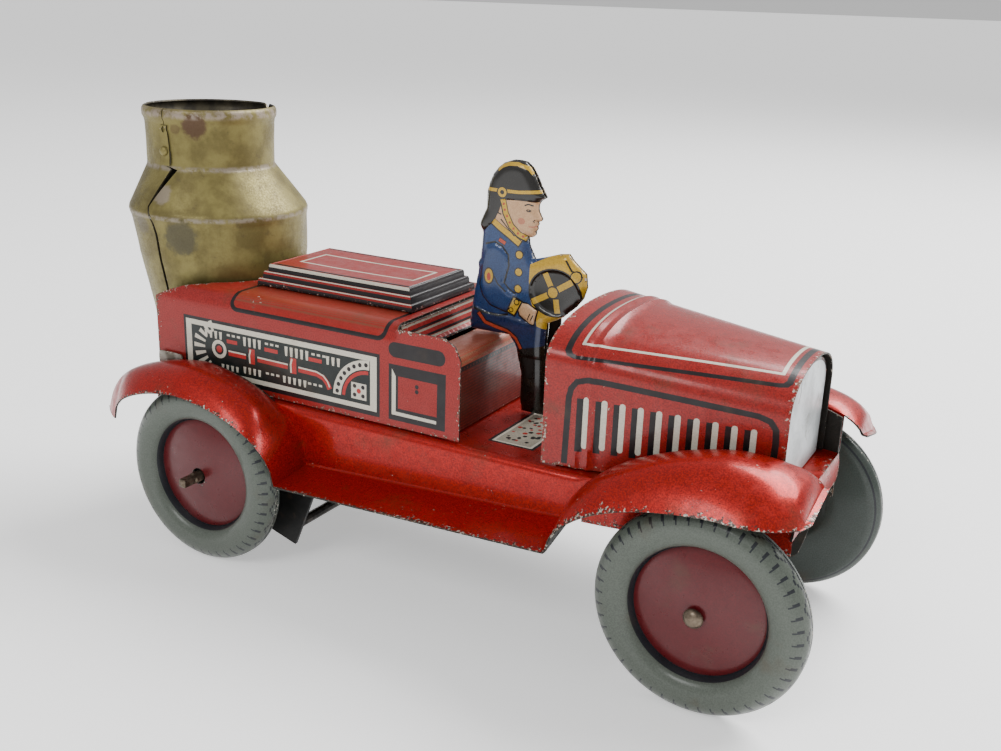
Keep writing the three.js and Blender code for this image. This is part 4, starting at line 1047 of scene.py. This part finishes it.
NAVY, JET, GOLD, SKIN, ROSE, BRICK, NIGHT = range(7)
crown_band = [(57.5, 93.0), (58.6, 93.9), (60.2, 94.5), (62.2, 94.6), (64.8, 93.9), (65.8, 92.9)]
driver_prints = [
    ([rectangle(50, 60, 78, 97)], JET),
    ([[(57, 78.5), (69.5, 78.5), (69.5, 88), (57, 88)]], SKIN),
    ([[(52, 81.8), (56.6, 82.6), (57.6, 81.9), (60.8, 80.1), (63.9, 78.3), (65.4, 78.9), (68, 76),
       (66.3, 70.5), (66.2, 64),
       (61, 61), (50, 61), (50, 80)]], NAVY),
    ([legs], NIGHT),
    ([[(63.4, 54.3), (71.5, 56.4), (71.5, 39), (63, 39), (64.2, 47)]], JET),
    ([helmet], JET),
    ([stroke([(56.6, 82.0), (58.5, 80.7), (60.9, 79.3), (63.6, 77.6)], 1.7)], JET),
    ([stroke([(56.8, 82.0), (58.5, 80.8), (60.9, 79.4), (63.4, 77.8)], 1.25)], GOLD),
    ([stroke([(58.3, 78.2), (60.0, 77.4)], 1.1)], JET), ([stroke([(58.4, 78.15), (59.9, 77.45)], 0.75)],
                                                         BRICK),
    ([stroke([(55.0, 76.8), (57.3, 77.5), (59.2, 76.8), (60.8, 75.0), (61.0, 72.6), (60.0, 68.8),
              (61.2, 67.6),
              (62.9, 66.7)], 0.4)], JET),
    ([stroke([(54.4, 72.0), (53.9, 67.6), (54.8, 65.2), (56.6, 63.4), (60.9, 62.3)], 0.4)], JET),
    ([stroke([(52.3, 62.2), (55.1, 61.5), (58.9, 61.3), (61.2, 61.9)], 0.5)], JET),
    ([stroke([(57.6, 70.0), (58.6, 68.4), (60.6, 66.9)], 0.35)], JET),
    ([disc(56.3, 69.9, 1.3, 16, 1.5)], JET), ([disc(56.3, 69.9, 1.0, 16, 1.6)], GOLD),
    ([disc(56.3, 69.7, 0.5, 12, 1.8)], BRICK),
    ([disc(63.4, z, 1.05, 14) for z in (75.4, 71.6, 67.9)], JET),
    ([disc(63.4, z, 0.78, 14) for z in (75.4, 71.6, 67.9)], GOLD),
    ([stroke([(53.8, 61.4), (55.6, 59.4), (58.6, 58.7), (61.1, 58.2), (63.4, 56.9), (64.8, 54.6),
              (65.2, 53.2)], 1.2)], JET),
    ([stroke([(53.9, 61.2), (55.7, 59.3), (58.6, 58.6), (61.1, 58.1), (63.4, 56.8), (64.8, 54.6)], 0.75)],
     BRICK),
    ([[(66.1, 73.7), (70.7, 76), (75, 77.5), (80, 73), (80, 66), (75.3, 62), (70.5, 59.6), (68.4, 60.4),
       (67.9, 62.6),
       (66.5, 66.0), (66.0, 70.0)]], GOLD),
    ([disc(72.2, 68.2, 6.25, 30, 0.86)], JET), ([wheel_disc], JET),
    ([stroke([(69.6, 72.2), (71.2, 69.2)], 1.3), stroke([(76.0, 71.1), (72.8, 69.0)], 1.3)], GOLD),
    ([stroke([(67.0, 65.6), (70.6, 67.6)], 1.3), stroke([(72.9, 63.8), (72.4, 66.8)], 1.3)], GOLD),
    ([disc(71.6, 68.2, 1.5, 14)], JET), ([disc(71.6, 68.2, 1.15, 14)], GOLD),
    ([stroke([(74.4, 75.6), (75.9, 73.6), (78.4, 72.4)], 0.4)], JET), ([disc(77.0, 72.3, 1.4, 12)], JET),
    ([disc(77.0, 72.3, 1.1, 12)], GOLD),
    ([[(x + (0.35 if x > 66 else -0.3), z + (0.35 if z > 63 else -0.3)) for x, z in hand_shape]], JET),
    ([hand_shape], SKIN),
    ([stroke([(67.5, 62.7), (66.9, 61.4)], 0.25), stroke([(66.7, 62.9), (66.1, 61.4)], 0.25)], JET),
    ([[(60.7, 62.3), (62.9, 61.5), (64.9, 65.3), (62.4, 66.4)]], JET),
    ([[(61.1, 62.6), (62.7, 62.0), (64.3, 65.1), (62.6, 65.8)]], GOLD),
    ([disc(61.9, 63.0, 0.6, 10), disc(63.2, 64.9, 0.75, 10)], JET),
    ([disc(61.9, 63.0, 0.4, 10), disc(63.2, 64.9, 0.5, 10)], GOLD),
    ([stroke([(54.4, 88.75), (58.2, 88.75), (63.0, 88.8), (67.9, 89.3)], 0.7)], GOLD),
    ([stroke(crown_band, 0.75)], GOLD),
    ([disc(58.9, 88.4, 1.35, 16)], JET), ([disc(58.9, 88.4, 1.05, 16)], GOLD),
    ([disc(58.9, 88.4, 0.5, 12)], JET),
    ([stroke([(58.95, 86.9), (59.7, 84.0), (61.2, 81.4), (63.2, 79.7), (65.0, 78.9)], 1.6)], JET),
    ([stroke([(59.0, 86.9), (59.75, 84.0), (61.2, 81.4), (63.2, 79.75), (64.8, 79.05)], 1.1)], GOLD),
]
driver_prints += [([disc(*arc_spot, 0.28, 8)], BRICK) for arc_spot in ((59.2, 85.9), (59.5, 84.7),
                                                                       (60.1, 83.4), (60.8, 82.1),
                                                                     (61.8, 80.9), (62.9, 80.0), (64.0,
                                                                                                  79.4))]
driver_prints += [
    ([stroke([(58.2, 86.2), (57.7, 85.0), (58.0, 83.8), (58.7, 83.6)], 0.35)], JET),
    ([stroke([(58.6, 82.6), (60.3, 80.9), (62.1, 79.3)], 0.3)], JET),
    ([disc(65.2, 85.1, 0.62, 14, 0.5)], JET), ([disc(65.3, 85.15, 0.3, 10, 0.6)], SKIN),
    ([disc(65.35, 85.1, 0.2, 8)], JET),
    ([stroke([(64.2, 86.1), (65.1, 86.45), (66.2, 86.2)], 0.32)], JET),
    ([stroke([(66.6, 83.2), (66.2, 82.9), (66.5, 82.7)], 0.22)], JET),
    ([stroke([(65.3, 81.75), (66.1, 81.65), (66.9, 81.8)], 0.32)], ROSE),
    ([disc(63.6, 82.7, 0.9, 14, 0.8)], ROSE),
]
figure_inks = [
    enamel("tunic_navy", "22406e", "16264a", gloss=0.26, coat=0.6, wear=0.2, chip="7c8494"),
    enamel("figure_jet", "17140f", "0d0b09", gloss=0.24, coat=0.7, wear=0.16, chip="8a8478"),
    enamel("figure_gold", "c8a22e", "a88020", gloss=0.28, coat=0.5, wear=0.22, chip="6a5426"),
    enamel("figure_skin", "c8a27c", "b48a64", gloss=0.32, coat=0.4, wear=0.16, grain=0.4),
    enamel("figure_rose", "b8785c", "a86a50", gloss=0.32, coat=0.4, wear=0.1),
    enamel("figure_brick", "b0442e", "963420", gloss=0.3, coat=0.5, wear=0.2),
    enamel("trouser_navy", "1a2c54", "101a34", gloss=0.26, coat=0.6, wear=0.2, chip="7c8494"),
    dark_back,
]
for hand, name in ((-1, "driver_right_half"), (1, "driver_left_half")):
    half = printed(name + "_sheet", [figure], driver_place(hand), driver_prints, figure_inks, 0.3,
                   (0.42, 0.42),
                   flip=hand > 0, whole=True)
    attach(half, "root")
    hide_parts(name)

# --------------------------------------------------------------------- wheels
# Each wheel is two pressed halves. The outer one has a domed maroon hub in a
# black groove and a grey-green tyre printed with wedge-shaped tread marks.

tyre_grey = enamel("tyre_grey", "565c54", "444a43", gloss=0.3, metal=0.05, coat=0.15, wear=0.18, grain=0.35,
                   chip="a8a698")
hub_maroon = enamel("hub_maroon", "5a1418", "400c10", gloss=0.26, metal=0.1, coat=0.25, wear=0.16,
                    grain=0.3, chip="30181a")
tread_ink = enamel("tread_ink", "22252a", "16181c", gloss=0.34, metal=0.05, wear=0.22, chip="6c7168")
wheel_back = enamel("wheel_back", "3c443f", "2e3530", gloss=0.36, metal=0.1, coat=0.3, wear=0.22,
                    chip="5c6058")
tread_radius, marks, columns = axle_height, 48, 384
TYRE, HUB, TREAD = range(3)


def outer_profile(hole):
    """Radius and stand-out of the outer pressing from its hole to the tread."""
    hub = [(r, 0.35 + 2.2 * math.cos(r / 13.1 * math.pi / 2) ** 0.9) for r in steps(hole, 12.9, 1.1)]
    tyre = [(13.1, 0.3), (13.3, 0.9), (13.6, 1.9), (14.1, 2.5), (14.9, 2.95), (15.9, 3.25), (16.9, 3.38),
            (17.7, 3.35),
            (18.2, 3.25), (18.6, 3.12), (19.0, 2.95), (19.4, 2.68), (19.8, 2.35), (20.1, 2.05),
            (20.4, 1.68), (20.62, 1.35),
            (20.78, 1.0), (tread_radius, 0.6), (tread_radius, 0.3), (tread_radius, 0.02)]
    return hub + tyre


def wheel_half(name, x, y, hand, profile, wall, ink, inks):
    rows = [[(x + r * math.cos(a), y + hand * out, axle_height + r * math.sin(a))
             for a in (2 * math.pi * k / columns for k in range(columns))] for r, out in profile]
    return gridded(name, rows, inks, wall, ink, closed=True, flip=hand > 0)


def tread_marks(profile):
    """Ink of each facet: wedges that widen outwards, a wavy line and the seam line."""
    per_mark = columns // marks

    def ink(i, j):
        r, out = ((a + b) / 2 for a, b in zip(profile[i], profile[i + 1]))
        if r < 12.6:
            return HUB
        if r < 13.7:
            return TREAD
        if 18.3 < r < 20.2:
            return TREAD if j % per_mark < lerp(0.5, 2.2, (r - 18.3) / 1.9) else TYRE
        wave = 0.95 + 0.5 * math.sin(j / columns * 2 * math.pi * 24)
        if r > 20.3 and abs(out - wave) < 0.2:
            return TREAD
        return TREAD if out < 0.18 else TYRE
    return ink


for name, track_hand, at in (("front_right", -1, wheel_base), ("front_left", 1, wheel_base),
                             ("rear_right", -1, 0.0),
                             ("rear_left", 1, 0.0)):
    low, high = corners(name + "_wheel_outer")
    plane = high.y if track_hand < 0 else low.y
    hole = 1.9 if name == "rear_right" else 1.45
    profile = outer_profile(hole)
    body = "rear_drive" if name == "rear_left" else name + "_wheel"
    outer_half = wheel_half(name + "_tyre", at, plane, track_hand, profile, 0.5, tread_marks(profile),
                            [tyre_grey, hub_maroon, tread_ink, wheel_back])
    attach(outer_half, body)
    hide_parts(name + "_wheel_outer")
    inner_path = [(hole, 1.6), (4.0, 1.6), (7.6, 1.6), (8.2, 1.75), (8.8, 2.25), (9.4, 2.4), (12.0, 2.4),
                  (15.0, 2.4),
                  (18.0, 2.38), (19.0, 2.3), (19.5, 2.1), (19.9, 1.85), (20.4, 1.5), (20.75, 1.15),
                  (tread_radius, 0.8),
                  (tread_radius, 0.3)]
    inner_half = wheel_half(name + "_backing", at, plane, -track_hand, inner_path, 0.5,
                            lambda i, j: TREAD if 19.3 < (inner_path[i][0] + inner_path[i
                                + 1][0]) / 2 < 20.0 else TYRE,
                            [wheel_back, hub_maroon, tread_ink, wheel_back])
    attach(inner_half, body)
    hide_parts(name + "_wheel_inner")

# ----------------------------------------------------- axles and winding arbor
# Brown worn rods: the front axle headed over at both ends, the rear one in two
# parts, whose right end is squared for the key and stands through a loose hole.


def rod(name, x, z, stations, ink, parts=32):
    """A solid rod along y from (y, radius, squareness) stations, closed at both ends."""
    points = []
    for y, radius, square in stations:
        power = 2 + 8 * square
        for k in range(parts):
            a = 2 * math.pi * k / parts
            c, s = math.cos(a), math.sin(a)
            reach_out = radius / (abs(c) ** power + abs(s) ** power) ** (1 / power)
            points.append([(p + q) * mm for p, q in zip((x + reach_out * c, y, z + reach_out * s), foot)])
    faces = [[i * parts + k, (i + 1) * parts + k, (i + 1) * parts + (k + 1) % parts,
              i * parts + (k + 1) % parts]
             for i in range(len(stations) - 1) for k in range(parts)]
    faces += [list(range(parts)), list(range(parts * (len(stations) - 1), parts * len(stations)))[::-1]]
    mesh = bpy.data.meshes.new(name)
    mesh.from_pydata(points, [], faces)
    mesh.materials.append(ink)
    mesh.shade_smooth()
    mesh.set_sharp_from_angle(angle=math.radians(38))
    piece = bpy.data.objects.new(name, mesh)
    bpy.context.scene.collection.objects.link(piece)
    return piece


axle_steel = metal("axle_steel", "76695a", "4a3f34", rough=0.42, shine=0.8, wear=0.42, patch=1.6,
                   stain="4c3020",
                   bright="b8ae9c")
oiled_steel = metal("oiled_steel", "4c4844", "2c2a28", rough=0.36, shine=0.85, wear=0.25, patch=2.0)
low, high = corners("front_axle")
head = [(0, 0.2), (0.12, 0.9), (0.4, 1.45), (0.8, 1.85), (1.1, 1.98), (1.2, 1.98), (1.22, 1.1)]
stations = [(low.y + away, radius, 0) for away, radius in head] + [(high.y - away, radius, 0) for away,
                                                                   radius in head[::-1]]
front_axle = rod("front_axle_rod", wheel_base, axle_height, stations, axle_steel)
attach(front_axle, "root")
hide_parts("front_axle")

low, high = corners("winding_arbor")
square_end, thin = 3.4, 0.95
stations = [(low.y, 0.55, 0.6), (low.y + 0.25, thin, 1), (low.y + square_end, thin, 1),
            (low.y + square_end + 0.35, 1.3, 0),
            (high.y, 1.3, 0)]
arbor = rod("winding_arbor_rod", 0, axle_height, stations, axle_steel)
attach(arbor, "winding")
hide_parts("winding_arbor")

low, high = corners("drive_axle")
stations = [(low.y, 1.3, 0), (high.y - 0.5, 1.3, 0), (high.y - 0.15, 1.1, 0), (high.y, 0.6, 0)]
drive_axle = rod("drive_axle_rod", 0, axle_height, stations, axle_steel)
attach(drive_axle, "rear_drive")
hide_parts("drive_axle")

# ------------------------------------------------------------------ clockwork
# Blackened plates and oiled arbors with stamped brass wheels, and a blued
# mainspring wound as a flat ribbon from the arbor out to a pillar.


def socket(tree, name):
    return next(item.identifier for item in tree.interface.items_tree if item.name == name)


def ribbon_tree():
    """Geometry Nodes: a flat ribbon swept along a spiral, laid about the y axis."""
    tree = bpy.data.node_groups.new("spiral_ribbon", "GeometryNodeTree")
    for name, value in (("Turns", 5.0), ("Start Radius", 0.002), ("End Radius", 0.009), ("Width", 0.011),
                        ("Wall", 0.0005)):
        tree.interface.new_socket(name, in_out="INPUT", socket_type="NodeSocketFloat").default_value = value
    tree.interface.new_socket("Material", in_out="INPUT", socket_type="NodeSocketMaterial")
    tree.interface.new_socket("Geometry", in_out="OUTPUT", socket_type="NodeSocketGeometry")

    def add(kind, **links):
        made = tree.nodes.new(kind)
        for name, value in links.items():
            target = made.inputs[name.replace("_", " ")]
            if isinstance(value, bpy.types.NodeSocket):
                tree.links.new(value, target)
            else:
                target.default_value = value
        return made

    given = tree.nodes.new("NodeGroupInput").outputs
    spiral = add("GeometryNodeCurveSpiral", Resolution=72, Rotations=given["Turns"],
                 Start_Radius=given["Start Radius"],
                 End_Radius=given["End Radius"], Height=0.0)
    section = add("GeometryNodeCurvePrimitiveQuadrilateral", Width=given["Wall"], Height=given["Width"])
    swept = add("GeometryNodeCurveToMesh", Curve=spiral.outputs["Curve"],
                Profile_Curve=section.outputs["Curve"],
                Fill_Caps=True)
    laid = add("GeometryNodeTransform", Geometry=swept.outputs["Mesh"], Rotation=(math.pi / 2, 0, 0))
    real = add("GeometryNodeRealizeInstances", Geometry=laid.outputs["Geometry"])
    coated = add("GeometryNodeSetMaterial", Geometry=real.outputs["Geometry"], Material=given["Material"])
    out = tree.nodes.new("NodeGroupOutput")
    tree.links.new(coated.outputs["Geometry"], out.inputs["Geometry"])
    return tree


def grown(name, tree, values, place):
    """The mesh that a Geometry Nodes tree makes from these inputs, moved to place in mm."""
    seed_mesh = bpy.data.meshes.new(name + "_seed")
    host = bpy.data.objects.new(name + "_host", seed_mesh)
    bpy.context.scene.collection.objects.link(host)
    modifier = host.modifiers.new("grow", "NODES")
    modifier.node_group = tree
    for key, value in values.items():
        modifier[socket(tree, key)] = value
    bpy.context.view_layer.update()
    mesh = bpy.data.meshes.new_from_object(host.evaluated_get(bpy.context.evaluated_depsgraph_get()))
    host.modifiers.clear()
    bpy.data.objects.remove(host)
    mesh.name = name
    shift = (Vector(place) + foot) * mm
    for vertex in mesh.vertices:
        vertex.co += shift
    piece = bpy.data.objects.new(name, mesh)
    bpy.context.scene.collection.objects.link(piece)
    return piece


blued = metal("blued_spring", "46506a", "2c3040", rough=0.28, shine=0.95, wear=0.2, patch=3.0)
low, high = corners("mainspring")
spring = grown("mainspring_ribbon", ribbon_tree(),
               {"Turns": 5.0, "Start Radius": 2.5 * mm, "End Radius": 9.1 * mm,
                "Width": (high.y - low.y) * mm,
                "Wall": 0.4 * mm, "Material": blued}, (0, (low.y + high.y) / 2, axle_height))
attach(spring, "root")
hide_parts("mainspring")

plate_black = metal("plate_black", "1c1b1a", "121211", rough=0.4, shine=0.5, wear=0.34, patch=5.0,
                    bright="6a645c")
gear_brass = metal("gear_brass", "b8964c", "8c7034", rough=0.34, shine=0.9, wear=0.3, patch=2.4)
for ink, names in ((plate_black, ("right_motor_plate", "left_motor_plate", "middle_motor_plate")),
                   (oiled_steel, ("motor_pillar_1", "motor_pillar_2", "motor_pillar_3", "layshaft",
                                  "click")),
                   (gear_brass, ("drive_gear", "lay_pinion", "lay_gear", "great_wheel", "ratchet_wheel"))):
    for name in names:
        data = frame["nodes"][name].data
        data.materials.clear()
        data.materials.append(ink)

# --------------------------------------------------------------- stage, camera
# A plain pale floor under soft studio light, seen from the photograph's place.

floor_mesh = bpy.data.meshes.new("floor")
floor_reach = 60.0
floor_mesh.from_pydata([(-floor_reach, -floor_reach, 0), (floor_reach, -floor_reach, 0),
                        (floor_reach, floor_reach, 0),
                        (-floor_reach, floor_reach, 0)], [], [(0, 1, 2, 3)])
floor = bpy.data.objects.new("floor", floor_mesh)
bpy.context.scene.collection.objects.link(floor)
floor_paint = bpy.data.materials.new("pale_floor")
floor_paint.use_nodes = True
floor_shader = floor_paint.node_tree.nodes["Principled BSDF"]
floor_shader.inputs["Base Color"].default_value = (0.9, 0.9, 0.9, 1)
floor_shader.inputs["Roughness"].default_value = 0.6
floor_shader.inputs["Emission Color"].default_value = (1, 1, 1, 1)
floor_shader.inputs["Emission Strength"].default_value = 0.5
floor_mesh.materials.append(floor_paint)

world = bpy.data.worlds.new("studio")
world.use_nodes = True
backdrop = world.node_tree.nodes["Background"]
backdrop.inputs["Color"].default_value = (1, 1, 1, 1)
backdrop.inputs["Strength"].default_value = 0.62
bpy.context.scene.world = world


def softbox(name, place, target, size, power):
    lamp = bpy.data.lights.new(name, "AREA")
    lamp.shape = "RECTANGLE"
    lamp.size, lamp.size_y = size
    lamp.energy = power
    light = bpy.data.objects.new(name, lamp)
    light.location = place
    light.rotation_mode = "QUATERNION"
    light.rotation_quaternion = (Vector(target) - Vector(place)).to_track_quat("-Z", "Y")
    bpy.context.scene.collection.objects.link(light)


softbox("back_softbox", (0.35, 0.55, 0.75), (0, 0, 0.03), (0.8, 0.5), 17)
softbox("front_softbox", (-0.1, -0.8, 0.7), (0, 0, 0.04), (0.5, 0.3), 4)

camera = bpy.data.objects.new("camera", bpy.data.cameras.new("camera"))
camera.data.lens = 40.86
camera.data.sensor_width = 36
camera.data.clip_start = 0.01
azimuth, elevation, roll = math.radians(28.47), math.radians(18.25), math.radians(2.02)
ahead = Vector((-math.sin(azimuth) * math.cos(elevation), math.cos(azimuth) * math.cos(elevation),
                -math.sin(elevation)))
camera.location = (0.12626, -0.21131, 0.12701)
camera.rotation_mode = "QUATERNION"
camera.rotation_quaternion = ahead.to_track_quat("-Z", "Y") @ Quaternion((0, 0, 1), roll)
bpy.context.scene.collection.objects.link(camera)
bpy.context.scene.camera = camera
